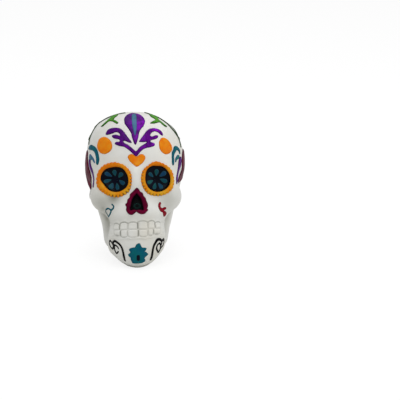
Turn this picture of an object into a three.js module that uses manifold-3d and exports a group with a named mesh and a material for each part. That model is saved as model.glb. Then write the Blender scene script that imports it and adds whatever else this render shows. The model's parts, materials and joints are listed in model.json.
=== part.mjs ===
// Sugar skull: a solid cast skull with raised, coloured icing laid on it.
// Millimetres, +Z up, face towards -Y, origin in the middle of the flat base.
import * as THREE from "three";
import { mergeVertices } from "three/addons/utils/BufferGeometryUtils.js";
import Module from "manifold-3d";

const wasm = await Module();
wasm.setup();

// Driving dimensions
const headWidth = 76.5;
const headDepth = 98;
const headHeight = 125; // chin point to crown, along the face
const baseCut = 8; // height of the flat base over the chin point
const clearance = 0.3; // between the skull and what is laid on it

// Icing
const reliefHeight = 1.3;
const ribbonHeight = 1.1;
const lineHeight = 0.8;
const overlayHeight = 0.6; // of the stripe and the seed that lie on other icing

// Eyes
const eyeBridge = 5.6; // bare skull between the two rings
const eyeRingWidth = 3.8;
const eyeRingHeight = 1.7;
const eyeScallop = 0.5;
const eyeDepth = 7.5;
const eyeDish = 3.4;
const eyeCupWall = 1.4;
const petalHeight = 0.6;
const petalWidth = 3.3;

// Nose
const noseWidth = 18.3;
const noseHeight = 21.7;
const noseRimWidth = 3.5;
const noseRimHeight = 1.5;
const noseDepth = 6;
const noseLiningThickness = 1.2;

// Teeth
const upperToothHeight = 6.4;
const lowerToothHeight = 6;
const toothGap = 0.7;
const toothRise = 1.5;

// Motifs laid on the skull
const dotDiameter = 12.6;
const heartWidth = 14;
const heartHeight = 10.2;
const plumeWidth = 16.4;
const plumeStripeWidth = 3;
const scrollWidth = 4.2;
const flowerDiameter = 15.6;
const seedWidth = 2.1;
const seedHeight = 4.6;
const hookWidth = 2.4;
const sideStripeWidth = 2.6;
const leafWidth = 8.6;
const vineWidth = 1.8;
const branchWidth = 3.2;
const curlWidth = 1.3;
const jawLineWidth = 1.4;

const leanAngle = 15; // degrees that the face tips back from upright
const rightAngle = Math.PI / 2;
const halfWidth = headWidth / 2;
const halfDepth = headDepth / 2;

// Bones of the skull: place and radii as shares of half the width, half the depth and
// the height; roundness is the power of the superellipsoid; blend is a share of half the width
const boneShares = [
  { at: [0, 0.28, 0.655], radii: [1, 0.81, 0.335], roundness: 2.25, blend: 0.16 }, // braincase
  { at: [0, 0.14, 0.708], radii: [0.97, 0.6, 0.29], roundness: 2.4, blend: 0.2 }, // crown
  { at: [0, -0.12, 0.668], radii: [0.88, 0.58, 0.315], roundness: 2.2, blend: 0.26 }, // forehead
  { at: [0, -0.28, 0.54], radii: [0.88, 0.46, 0.15], roundness: 2.6, blend: 0.2 }, // eye region
  { at: [0, -0.54, 0.55], radii: [0.17, 0.24, 0.11], roundness: 2, blend: 0.2 }, // nose bones
  { at: [0, -0.38, 0.375], radii: [0.63, 0.44, 0.125], roundness: 2.5, blend: 0.2 }, // upper jaw
  { at: [0, -0.37, 0.25], radii: [0.58, 0.43, 0.085], roundness: 2.7, blend: 0.13 }, // tooth band
  { at: [0, -0.34, 0.165], radii: [0.6, 0.45, 0.11], roundness: 2.3, blend: 0.16 }, // lower jaw
  { at: [0, -0.4, 0.1], radii: [0.33, 0.36, 0.105], roundness: 2, blend: 0.16 }, // chin
  { at: [0, -0.58, 0.078], radii: [0.23, 0.2, 0.06], roundness: 2, blend: 0.13 }, // chin pad
  { at: [0, 0.3, 0.29], radii: [0.57, 0.6, 0.25], roundness: 2.3, blend: 0.26 }, // nape
  { at: [0, -0.1, 0.16], radii: [0.38, 0.6, 0.12], roundness: 2.3, blend: 0.16 }, // jaw floor
  { at: [0.6, -0.38, 0.455], radii: [0.33, 0.28, 0.09], roundness: 2, blend: 0.2 }, // cheekbones
];
const barShares = [
  { from: [0.76, -0.3, 0.448], to: [0.855, 0.22, 0.475], radius: 0.108, blend: 0.13 }, // cheek arch
  { from: [0.24, -0.46, 0.1], to: [0.44, 0.1, 0.205], radius: 0.195, blend: 0.16 }, // jaw edge
  { from: [0.49, 0.06, 0.195], to: [0.62, 0.1, 0.385], radius: 0.15, blend: 0.13 }, // jaw branch
];
const hollowShares = [
  { from: [0.76, -0.24, 0.385], to: [0.68, -0.2, 0.24], radius: 0.08, blend: 0.13 }, // jaw groove
  { from: [1.1, -0.26, 0.56], to: [1.12, 0.05, 0.53], radius: 0.18, blend: 0.2 }, // temple
];

const fromShares = ([x, y, z]) =>
  new THREE.Vector3(x * halfWidth, y * halfDepth, z * headHeight);

const bones = boneShares.map(({ at, radii, roundness, blend }) => ({
  at: fromShares(at),
  radii: fromShares(radii),
  roundness,
  blend: blend * halfWidth,
}));
const toBar = ({ from, to, radius, blend }) => ({
  from: fromShares(from),
  along: fromShares(to).sub(fromShares(from)),
  radius: radius * halfWidth,
  blend: blend * halfWidth,
});
const bars = barShares.map(toBar);
const hollows = hollowShares.map(toBar);

function boneDistance(x, y, z, { at, radii, roundness }) {
  const places = [x - at.x, y - at.y, z - at.z];
  const sizes = [radii.x, radii.y, radii.z];
  let sum = 0;
  let slope = 0;
  for (let axis = 0; axis < 3; axis++) {
    const share = Math.abs(places[axis]) / sizes[axis] + Number.EPSILON;
    sum += share ** roundness;
    slope += (share ** (roundness - 1) / sizes[axis]) ** 2;
  }
  const spread = sum ** (1 / roundness);
  return (spread - 1) / (Math.sqrt(slope) * spread ** (1 - roundness));
}

const offset = new THREE.Vector3();
function barDistance(x, y, z, { from, along, radius }) {
  offset.set(x, y, z).sub(from);
  const share = THREE.MathUtils.clamp(offset.dot(along) / along.lengthSq(), 0, 1);
  return offset.addScaledVector(along, -share).length() - radius;
}

function softMin(a, b, blend) {
  const near = Math.max(blend - Math.abs(a - b), 0);
  return Math.min(a, b) - (near * near) / (4 * blend);
}

// Distance to the skin of the upright skull, negative inside
function skinDistance(x, y, z) {
  const side = Math.abs(x);
  let distance = boneDistance(side, y, z, bones[0]);
  for (const bone of bones.slice(1)) {
    distance = softMin(distance, boneDistance(side, y, z, bone), bone.blend);
  }
  for (const bar of bars) {
    distance = softMin(distance, barDistance(side, y, z, bar), bar.blend);
  }
  for (const hollow of hollows) {
    distance = -softMin(-distance, barDistance(side, y, z, hollow), hollow.blend);
  }
  return distance;
}

// The upright skull leans back and is set down on its cut base
const baseMiddleShare = 0.2; // of half the depth
const seating = new THREE.Matrix4()
  .makeTranslation(0, -baseMiddleShare * halfDepth, -baseCut)
  .multiply(new THREE.Matrix4().makeRotationX(-THREE.MathUtils.degToRad(leanAngle)));
const unseating = seating.clone().invert();
const seat = (point) => point.clone().applyMatrix4(seating);

const rayLength = headHeight;
const strideShare = 0.7; // of the measured distance, that one step towards the skin takes
const probe = headWidth / 150; // shortest step, also used to find where the skin faces
const refinements = 14;

// Outermost point of the skin on a ray that runs outwards from a point inside
function findSkin(inner, outward) {
  const at = (distance) => {
    const point = inner.clone().addScaledVector(outward, distance);
    return skinDistance(point.x, point.y, point.z);
  };
  let outside = rayLength;
  let inside = rayLength;
  for (let distance = at(rayLength); distance > 0 && inside > 0; distance = at(inside)) {
    outside = inside;
    inside -= Math.max(probe, strideShare * distance);
  }
  for (let step = 0; step < refinements; step++) {
    const middle = (inside + outside) / 2;
    if (at(middle) < 0) inside = middle;
    else outside = middle;
  }
  return inner.clone().addScaledVector(outward, (inside + outside) / 2);
}

function skinNormal({ x, y, z }) {
  return new THREE.Vector3(
    skinDistance(x + probe, y, z) - skinDistance(x - probe, y, z),
    skinDistance(x, y + probe, z) - skinDistance(x, y - probe, z),
    skinDistance(x, y, z + probe) - skinDistance(x, y, z - probe),
  ).normalize();
}

// Three ways to name a place on the skin: straight through the face, straight through a side,
// and by direction from the middle of the braincase, turned from the face and climbed from level
const domeMiddleShares = [0, 0.16, 0.66];
const domeMiddle = fromShares(domeMiddleShares);
const heading = (turn, climb) =>
  new THREE.Vector3(
    Math.sin(turn) * Math.cos(climb),
    -Math.cos(turn) * Math.cos(climb),
    Math.sin(climb),
  );
const forwards = heading(0, 0);
const onFace = (x, z) => findSkin(new THREE.Vector3(x, 0, z), forwards);
const onSide = (side) => (y, z) =>
  findSkin(new THREE.Vector3(0, y, z), new THREE.Vector3(side, 0, 0));
const domeShare = (turn, climb) =>
  findSkin(domeMiddle, heading(turn * rightAngle, climb * rightAngle));
const faceShare = (x, z) => onFace(x * halfWidth, z * headHeight);
const sideShare = (side) => (y, z) => onSide(side)(y * halfDepth, z * headHeight);

const lift = (point, rise) => seat(point.clone().addScaledVector(skinNormal(point), rise));

// Brings a point that is near the skin onto it
const settleSteps = 3;
function settle(point) {
  for (let step = 0; step < settleSteps; step++) {
    point.addScaledVector(skinNormal(point), -skinDistance(point.x, point.y, point.z));
  }
  return point;
}

// Solids
const weld = probe / 1000; // points closer than this are one
function toSolid(geometry) {
  geometry.deleteAttribute("normal");
  geometry.deleteAttribute("uv");
  const merged = mergeVertices(geometry, weld);
  return new wasm.Manifold(
    new wasm.Mesh({
      numProp: 3,
      vertProperties: new Float32Array(merged.attributes.position.array),
      triVerts: new Uint32Array(merged.index.array),
    }),
  );
}

function toGeometry(solid) {
  const { vertProperties, triVerts } = solid.getMesh();
  const geometry = new THREE.BufferGeometry();
  geometry.setAttribute("position", new THREE.BufferAttribute(vertProperties, 3));
  geometry.setIndex(new THREE.BufferAttribute(triVerts, 1));
  return geometry;
}

function signedVolume(points, faces) {
  return faces.reduce((sum, [a, b, c]) => {
    const across = new THREE.Vector3().crossVectors(points[b], points[c]);
    return sum + points[a].dot(across);
  }, 0);
}

// A closed skin through rings of points: ends close on a tip, or the last ring meets the first
function loftSolid(rings, tips) {
  const points = rings.flat();
  const count = rings[0].length;
  const faces = [];
  const last = rings.length - 1;
  const spans = tips ? last : rings.length;
  for (let ring = 0; ring < spans; ring++) {
    const next = (ring + 1) % rings.length;
    for (let step = 0; step < count; step++) {
      const after = (step + 1) % count;
      const [a, b] = [ring * count + step, ring * count + after];
      const [c, d] = [next * count + step, next * count + after];
      faces.push([a, b, d], [a, d, c]);
    }
  }
  if (tips) {
    points.push(...tips);
    for (let step = 0; step < count; step++) {
      const after = (step + 1) % count;
      faces.push([points.length - 2, after, step]);
      faces.push([points.length - 1, last * count + step, last * count + after]);
    }
  }
  const outwards = signedVolume(points, faces) > 0;
  const indices = faces.flatMap(([a, b, c]) => (outwards ? [a, b, c] : [a, c, b]));
  const geometry = new THREE.BufferGeometry().setFromPoints(points);
  geometry.setIndex(indices);
  return toSolid(geometry);
}

const join = (solids) => solids.reduce((whole, solid) => whole.add(solid));

// Domed patch of icing: an outline about a middle, placed by a lookup that takes it to the skin;
// its edge is given as shares of the outline's reach and of the height
const edgeShares = [
  [1, 0.4],
  [0.82, 0.85],
];
const moundStep = headWidth / 17; // widest step that a patch takes over the curve of the skull
function mound({ outline, middle, place, height, floor = clearance, edge = edgeShares }) {
  const inset = (share) =>
    outline.map(([x, z]) => place(middle[0] + x * share, middle[1] + z * share));
  const raise = (points, rise) => points.map((point) => lift(point, floor + rise));
  const count = Math.ceil(Math.max(...outline.map(([x, z]) => Math.hypot(x, z))) / moundStep);
  const levels = Array.from({ length: count }, (_, index) => (index + 1) / count);
  const flat = levels.filter((share) => share < edge[edge.length - 1][0]).reverse();
  const over = [...edge, ...flat.map((share) => [share, 1])];
  const rings = [
    ...levels.map((share) => raise(inset(share), 0)),
    ...over.map(([share, rise]) => raise(inset(share), rise * height)),
  ];
  const tip = [place(...middle)];
  return loftSolid(rings, [...raise(tip, 0), ...raise(tip, height)]);
}

// Stroke of icing: rows give a place and the share of the full width there; domed across
const acrossShares = [
  [-0.5, 0.1],
  [-0.24, 1],
  [0.24, 1],
  [0.5, 0.1],
];
const roundingShare = 0.6; // a narrow stroke is no higher than this share of its width
function stroke({ rows, width, height, place, floor = clearance, steps = 2 }) {
  const curve = new THREE.CatmullRomCurve3(
    rows.map(([a, b]) => place(a, b)),
    false,
    "centripetal",
  );
  const count = (rows.length - 1) * steps;
  const rings = [];
  const tips = [];
  for (let step = 0; step <= count; step++) {
    const row = Math.min(Math.floor(step / steps), rows.length - 2);
    const share = THREE.MathUtils.lerp(rows[row][2], rows[row + 1][2], step / steps - row);
    const point = settle(curve.getPoint(step / count));
    const across = curve.getTangent(step / count).cross(skinNormal(point)).normalize();
    const crest = Math.min(height, roundingShare * share * width);
    const over = acrossShares.map(([side, rise]) => {
      const beside = point.clone().addScaledVector(across, side * share * width);
      return lift(settle(beside), floor + rise * crest);
    });
    rings.push([...over, lift(point, floor)]);
    tips.push(lift(point, floor + crest / 2));
  }
  return loftSolid(rings, [tips[0], tips[tips.length - 1]]);
}

const circle = (count, radius, radiusUp = radius) =>
  Array.from({ length: count }, (_, index) => {
    const angle = (2 * Math.PI * index) / count;
    return [radius * Math.cos(angle), radiusUp * Math.sin(angle)];
  });

const mirrored = (rows, side) => rows.map(([x, ...rest]) => [side * x, ...rest]);
const scaled = (outline, across, up) => outline.map(([x, z]) => [x * across, z * up]);
const fromHalf = (half) => [...half, ...mirrored(half.filter(([x]) => x !== 0), -1).reverse()];

// Materials: painted colours of the icing
const finish = (color, roughness = 0.35) =>
  new THREE.MeshStandardMaterial({ color, roughness, metalness: 0 });
const whiteGlaze = finish("#e9e8e3", 0.4);
const marigold = finish("#dd9a1e");
const orange = finish("#f08c17");
const purple = finish("#7a1aa6");
const slateBlue = finish("#5f6e9c");
const teal = finish("#14707c");
const maroon = finish("#6a0f35");
const green = finish("#3f7a1e");
const black = finish("#101312");
const scarlet = finish("#b01030");
const navy = finish("#10163c");
const petalBlue = finish("#2c7188");

const sculpture = new THREE.Group();
function add(name, solid, material) {
  const mesh = new THREE.Mesh(toGeometry(solid), material);
  mesh.name = name;
  sculpture.add(mesh);
}

// Skull skin: rings about a spine, closer together on the face, flat at the base
const columns = 54;
const domeRows = 9;
const wallRows = 29;
const faceBiasShare = 0.42; // how much closer the columns stand on the face

function skullSkin() {
  const middle = seat(domeMiddle);
  const hit = (inner, outward) =>
    seat(
      findSkin(
        inner.clone().applyMatrix4(unseating),
        outward.clone().transformDirection(unseating),
      ),
    );
  const turns = Array.from({ length: columns }, (_, column) => {
    const angle = (2 * Math.PI * column) / columns;
    return angle - faceBiasShare * Math.sin(angle);
  });
  const dome = Array.from({ length: domeRows }, (_, row) => {
    const climb = rightAngle * (1 - (row + 1) / domeRows);
    return turns.map((turn) => hit(middle, heading(turn, climb)));
  });
  const wall = Array.from({ length: wallRows }, (_, row) => {
    const share = 1 - (row + 1) / wallRows;
    const inner = new THREE.Vector3(0, middle.y * share, middle.z * share);
    return turns.map((turn) => hit(inner, heading(turn, 0)));
  });
  wall[wallRows - 1].forEach((point) => point.setZ(0));
  const ends = [hit(middle, heading(0, rightAngle)), new THREE.Vector3()];
  return loftSolid([...dome, ...wall], ends);
}

// Eye frames: where each eye looks and how far it reaches
const eyeShares = { x: 0.447, z: 0.563 };
const eyeX = eyeShares.x * halfWidth;
const eyeZ = eyeShares.z * headHeight;
const ringRadius = eyeX - eyeBridge / 2;
const socketRadius = ringRadius - eyeRingWidth;
const cupRadius = socketRadius - clearance;
const eyeWideShare = 1.07; // the eye is a little wider than tall
const eyeTurnShare = 0.22; // of a right angle, outwards
const scallops = 30;
const cutterShare = 0.4; // of half the depth, how far ahead of the face a cutter starts

function eyeFrame(side) {
  const middle = onFace(side * eyeX, eyeZ);
  const turn = side * eyeTurnShare * rightAngle;
  const outward = heading(turn, 0);
  const across = new THREE.Vector3(Math.cos(turn), Math.sin(turn), 0);
  const up = new THREE.Vector3(0, 0, 1);
  const basis = new THREE.Matrix4().makeBasis(across, outward.clone().negate(), up);
  const place = (x, z) =>
    findSkin(
      middle
        .clone()
        .addScaledVector(outward, -halfDepth / 2)
        .addScaledVector(across, x)
        .addScaledVector(up, z),
      outward,
    );
  const toWorld = new THREE.Matrix4()
    .copy(seating)
    .multiply(new THREE.Matrix4().makeTranslation(middle.x, middle.y, middle.z))
    .multiply(basis)
    .multiply(new THREE.Matrix4().makeScale(eyeWideShare, 1, 1));
  return { place, toWorld };
}

// Round solid about the line that the eye looks along; depth runs into the skull
function turned(profile, { toWorld }, segments) {
  const points = profile.map(([radius, depth]) => new THREE.Vector2(radius, -depth));
  const geometry = new THREE.LatheGeometry(points, segments);
  geometry.rotateX(Math.PI);
  geometry.applyMatrix4(toWorld);
  return toSolid(geometry);
}

const dishDepth = (share) => eyeDish * (1 - share * share);
const rimDepth = eyeDepth - clearance - eyeCupWall - eyeDish;

const socketSegments = 36;
const cupSegments = 28;
const dishShares = [0.93, 0.65, 0.35, 0];

function eyeSocket(frame) {
  const front = -cutterShare * halfDepth;
  return turned(
    [
      [0, eyeDepth],
      [socketRadius, eyeDepth],
      [socketRadius, front],
      [0, front],
    ],
    frame,
    socketSegments,
  );
}

function eyeCup(frame) {
  const back = eyeDepth - clearance;
  const dish = dishShares.map((share) => [share * cupRadius, rimDepth + dishDepth(share)]);
  const profile = [[0, back], [cupRadius, back], [cupRadius, rimDepth], ...dish];
  return turned(profile, frame, cupSegments);
}

// Section of the ring as shares of its width and height
const eyeRingShares = [
  [0.06, 0],
  [1, 0],
  [0.9, 0.8],
  [0.3, 1],
];
function eyeRing({ place }) {
  const count = scallops * 2;
  const ring = ([share, rise]) =>
    Array.from({ length: count }, (_, index) => {
      const angle = (2 * Math.PI * index) / count;
      const bulge = share * (index % 2 ? -eyeScallop : 0);
      const radius = socketRadius + share * eyeRingWidth + bulge;
      const point = place(eyeWideShare * radius * Math.cos(angle), radius * Math.sin(angle));
      return lift(point, clearance + rise * eyeRingHeight);
    });
  return loftSolid(eyeRingShares.map(ring));
}

// A petal lies on the dish: narrow towards the middle, round outside
const petalReachShares = [0.22, 0.78];
const petalTaperShare = 0.28;
const petalTopShare = 0.6;
const petalCount = 7;
const petalSides = 12;
function eyePetal({ toWorld }, index) {
  const angle = rightAngle + (2 * Math.PI * index) / petalCount;
  const [start, end] = petalReachShares.map((share) => share * cupRadius);
  const outline = circle(petalSides, 1).map(([x, z]) => [
    (start + end) / 2 + (x * (end - start)) / 2,
    z * (petalWidth / 2) * (1 + petalTaperShare * (x - 1)),
  ]);
  const laid = (share, rise) =>
    outline.map(([x, z]) => {
      const along = (start + end) / 2 + (x - (start + end) / 2) * share;
      const beside = z * share;
      const radius = Math.hypot(along, beside);
      const depth = rimDepth + dishDepth(radius / cupRadius) - clearance - rise;
      const spot = new THREE.Vector3(
        along * Math.cos(angle) - beside * Math.sin(angle),
        depth,
        along * Math.sin(angle) + beside * Math.cos(angle),
      );
      return spot.applyMatrix4(toWorld);
    });
  const tip = (rise) => laid(0, rise)[0];
  return loftSolid(
    [laid(1, 0), laid(1, petalHeight / 2), laid(petalTopShare, petalHeight)],
    [tip(0), tip(petalHeight)],
  );
}

// Nose: an upturned heart; half of its outline as shares of its width and height
const noseShare = 0.422; // place of its middle, as a share of the height
const noseInsetShare = 1.2; // the rim is wider above and below than at its sides
const noseAt = [0, noseShare * headHeight];
const noseHalfShares = [
  [0, 0.5],
  [0.13, 0.43],
  [0.23, 0.26],
  [0.36, 0.08],
  [0.46, -0.1],
  [0.5, -0.28],
  [0.42, -0.44],
  [0.26, -0.5],
  [0.1, -0.46],
  [0, -0.38],
];
const noseOutline = (inset) =>
  fromHalf(
    noseHalfShares.map(([x, z]) => [
      x * (noseWidth - 2 * inset),
      z * (noseHeight - 2 * noseInsetShare * inset),
    ]),
  );
const noseInner = noseOutline(noseRimWidth);

function nosePrism(outline, front, back) {
  const shape = new THREE.Shape(outline.map(([x, z]) => new THREE.Vector2(x, z)));
  const geometry = new THREE.ExtrudeGeometry(shape, { depth: back - front, bevelEnabled: false });
  const middle = onFace(...noseAt);
  geometry.rotateX(Math.PI / 2);
  geometry.translate(noseAt[0], middle.y + back, noseAt[1]);
  return toSolid(geometry.applyMatrix4(seating));
}

// Section of the rim as shares of its width, from outside, and of its height
const noseRimShares = [
  [1, 0],
  [0, 0],
  [0.1, 0.5],
  [0.5, 1],
  [1, 0.5],
];
function noseRim() {
  const ring = ([share, rise]) =>
    noseOutline(share * (noseRimWidth - clearance)).map(([x, z]) => {
      const point = onFace(noseAt[0] + x, noseAt[1] + z);
      return lift(point, clearance + rise * noseRimHeight);
    });
  return loftSolid(noseRimShares.map(ring));
}

// Teeth: edges along the dental arch as shares of a right angle, and the line where they meet
const archShares = { y: -0.16, radius: 0.62, bite: 0.241 };
const archY = archShares.y * halfDepth;
const archRadius = archShares.radius * halfWidth;
const bite = archShares.bite * headHeight;
const upperEdgeShares = [0, 0.158, 0.287, 0.422, 0.6, 0.78];
const lowerEdgeShares = [0, 0.15, 0.272, 0.405, 0.578, 0.755];
const toothEdgeShares = [
  [1, 0.55],
  [0.72, 1],
];
const toothSides = 10;

function tooth(side, from, to, top, bottom) {
  const [near, far] = [from, to].map((share) => share * rightAngle);
  const halfSpan = (far - near) / 2 - toothGap / 2 / archRadius;
  const outline = circle(toothSides, 1).map(([x, z]) => [
    halfSpan * Math.sign(x) * Math.sqrt(Math.abs(x)),
    ((top - bottom) / 2) * Math.sign(z) * Math.sqrt(Math.abs(z)),
  ]);
  return mound({
    outline,
    middle: [(near + far) / 2, (top + bottom) / 2],
    place: (turn, z) => findSkin(new THREE.Vector3(0, archY, z), heading(side * turn, 0)),
    height: 2 * toothRise,
    floor: -toothRise,
    edge: toothEdgeShares,
  });
}

function teeth() {
  const rows = [
    { edges: upperEdgeShares, top: bite + upperToothHeight, bottom: bite + toothGap / 2 },
    { edges: lowerEdgeShares, top: bite - toothGap / 2, bottom: bite - lowerToothHeight },
  ];
  return rows.flatMap(({ edges, top, bottom }) =>
    [-1, 1].flatMap((side) =>
      edges.slice(1).map((to, index) => tooth(side, edges[index], to, top, bottom)),
    ),
  );
}

// Forehead: plume with its stripe, scroll, heart and dots
const overlayFloor = clearance + reliefHeight + clearance;
const plumeShares = { top: 0.985, tip: 0.785 };
const plumeHeight = (plumeShares.top - plumeShares.tip) * headHeight;
const plumeAt = [0, ((plumeShares.top + plumeShares.tip) / 2) * headHeight];
const plumeHalfShares = [
  [0, 0.5],
  [0.22, 0.485],
  [0.4, 0.42],
  [0.49, 0.33],
  [0.5, 0.23],
  [0.44, 0.1],
  [0.34, -0.03],
  [0.24, -0.16],
  [0.14, -0.32],
  [0, -0.5],
];
const plumeStripeShares = [
  [0, 0.967, 0.8],
  [0, 0.945, 1],
  [0, 0.9, 0.85],
  [0, 0.85, 0.5],
];

function plume() {
  return mound({
    outline: scaled(fromHalf(plumeHalfShares), plumeWidth, plumeHeight),
    middle: plumeAt,
    place: onFace,
    height: reliefHeight,
  });
}

function plumeStripe() {
  return stroke({
    rows: plumeStripeShares,
    width: plumeStripeWidth,
    height: overlayHeight,
    place: faceShare,
    floor: overlayFloor,
  });
}

// Strokes of one half of the scroll, drawn on the right; the halves meet under the plume
const scrollShares = [
  [
    [0.61, 0.85, 0.35],
    [0.53, 0.874, 0.8],
    [0.4, 0.878, 1],
    [0.28, 0.857, 1.3],
    [0.19, 0.83, 1.1],
    [0.11, 0.803, 0.3],
  ],
  [[0.5, 0.838, 0.5], [0.38, 0.832, 0.9], [0.25, 0.825, 1.1]],
  [[0.43, 0.801, 0.4], [0.34, 0.797, 0.85], [0.23, 0.781, 0.85], [0.11, 0.754, 0.75], [0, 0.732, 0.8]],
  [[0.3, 0.852, 0.9], [0.29, 0.822, 1.1], [0.28, 0.79, 0.7]],
];
const strokes = (tables, settings) => tables.map((rows) => stroke({ rows, ...settings }));

function forehead() {
  const settings = { width: scrollWidth, height: ribbonHeight, place: faceShare };
  return join(
    [-1, 1].flatMap((side) =>
      strokes(scrollShares.map((rows) => mirrored(rows, side)), settings),
    ),
  );
}

const heartHalfShares = [
  [0, 0.28],
  [0.14, 0.45],
  [0.3, 0.5],
  [0.44, 0.4],
  [0.5, 0.18],
  [0.42, -0.06],
  [0.24, -0.3],
  [0, -0.5],
];
const heartShare = 0.686;
function heart() {
  return mound({
    outline: scaled(fromHalf(heartHalfShares), heartWidth, heartHeight),
    middle: [0, heartShare * headHeight],
    place: onFace,
    height: reliefHeight,
  });
}

const dotShares = { x: 0.63, z: 0.782 };
const dotSides = 16;
function dot(side) {
  return mound({
    outline: circle(dotSides, dotDiameter / 2),
    middle: [side * dotShares.x * halfWidth, dotShares.z * headHeight],
    place: onFace,
    height: reliefHeight,
  });
}

// Temples: hook, leaflet, stripe and leaf; crown: branch and vine, as shares of a right angle
const hookShares = [
  [0.97, 0.766, 0.5],
  [0.92, 0.777, 0.8],
  [0.83, 0.752, 1],
  [0.78, 0.712, 1],
  [0.79, 0.67, 0.6],
];
const leafletShares = [
  [-0.29, 0.733, 0.4],
  [-0.36, 0.71, 1],
  [-0.39, 0.672, 0.3],
];
const sideStripeShares = [
  [-0.14, 0.725, 0.4],
  [-0.23, 0.68, 1],
  [-0.26, 0.61, 1],
  [-0.2, 0.53, 0.3],
];
const leafShares = { y: 0.02, top: 0.745, bottom: 0.515, taper: 0.6 };
const leafSides = 16;
const branchShares = [
  [[0.4, 0.678, 0.3], [0.511, 0.633, 0.9], [0.611, 0.578, 1], [0.678, 0.489, 0.3]],
  [[0.3, 0.522, 0.3], [0.422, 0.567, 0.8], [0.578, 0.6, 0.6]],
];
const vineShares = [
  [
    [1.056, 0.133, 0.6],
    [1, 0.3, 1],
    [0.956, 0.5, 1],
    [0.933, 0.644, 1],
    [0.8, 0.778, 1],
    [0.333, 0.867, 0.5],
  ],
  [[0.978, 0.367, 1], [1.156, 0.444, 1.5], [1.311, 0.422, 0.5]],
  [[0.956, 0.522, 1], [1.2, 0.622, 1.5], [1.422, 0.6, 0.5]],
];

function leaf(side) {
  const { y, top, bottom, taper } = leafShares;
  const length = (top - bottom) * headHeight;
  return mound({
    outline: circle(leafSides, 1).map(([across, along]) => [
      (across * (1 - along * along * taper) * leafWidth) / 2,
      (along * length) / 2,
    ]),
    middle: [y * halfDepth, ((top + bottom) / 2) * headHeight],
    place: onSide(side),
    height: reliefHeight,
  });
}

// Cheeks and jaw
const leftCurlShares = [
  [[-0.52, 0.414, 0.6], [-0.51, 0.392, 1], [-0.56, 0.376, 1], [-0.6, 0.352, 1], [-0.59, 0.33, 0.6]],
  [[-0.54, 0.38, 1], [-0.61, 0.378, 0.8], [-0.65, 0.36, 0.8], [-0.6, 0.35, 0.8]],
];
const rightCurlShares = [
  [[0.47, 0.417, 0.8], [0.46, 0.396, 1.3], [0.51, 0.373, 1.5], [0.56, 0.357, 1.5], [0.57, 0.338, 2]],
  [[0.52, 0.372, 1.2], [0.56, 0.37, 1], [0.59, 0.386, 0.8]],
];
const jawScrollShares = [
  [[0.28, 0.053, 0.9], [0.3, 0.097, 1.3], [0.35, 0.136, 1.2], [0.42, 0.16, 1.2], [0.5, 0.173, 1]],
  [[0.5, 0.173, 1], [0.44, 0.15, 0.9], [0.41, 0.127, 0.9], [0.44, 0.106, 0.9], [0.49, 0.12, 0.6]],
  [[0.5, 0.173, 1], [0.56, 0.182, 0.9], [0.6, 0.164, 0.9], [0.57, 0.142, 0.6]],
];

const flowerHalfShares = [
  [0, 0.52],
  [0.11, 0.36],
  [0.36, 0.33],
  [0.34, 0.16],
  [0.5, -0.02],
  [0.34, -0.17],
  [0.34, -0.34],
  [0.2, -0.46],
  [0, -0.48],
];
const flowerShare = 0.104;
const flowerZ = flowerShare * headHeight;
function flower() {
  return mound({
    outline: scaled(fromHalf(flowerHalfShares), flowerDiameter, flowerDiameter),
    middle: [0, flowerZ],
    place: onFace,
    height: reliefHeight,
  });
}

const seedDropShare = 0.17; // of the flower, below its middle
const seedSides = 8;
function seed() {
  return mound({
    outline: circle(seedSides, seedWidth / 2, seedHeight / 2),
    middle: [0, flowerZ - seedDropShare * flowerDiameter],
    place: onFace,
    height: overlayHeight,
    floor: overlayFloor,
  });
}

const eyes = { left: eyeFrame(-1), right: eyeFrame(1) };

let casting = skullSkin().add(join(teeth()));
for (const frame of Object.values(eyes)) casting = casting.subtract(eyeSocket(frame));
casting = casting.subtract(nosePrism(noseInner, -cutterShare * halfDepth, noseDepth));
add("skull_casting", casting, whiteGlaze);

const lining = noseOutline(noseRimWidth + clearance);
const liningFront = noseDepth - clearance - noseLiningThickness;
add("nose_lining", nosePrism(lining, liningFront, noseDepth - clearance), black);
add("nose_rim", noseRim(), maroon);
add("forehead_plume", plume(), purple);
add("plume_stripe", plumeStripe(), slateBlue);
add("forehead_scroll", forehead(), purple);
add("forehead_heart", heart(), orange);
add("chin_flower", flower(), teal);
add("chin_seed", seed(), navy);

const curl = { width: curlWidth, height: lineHeight, place: faceShare };
add("left_cheek_curl", join(strokes(leftCurlShares, curl)), teal);
add("right_cheek_curl", join(strokes(rightCurlShares, curl)), scarlet);

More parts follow.
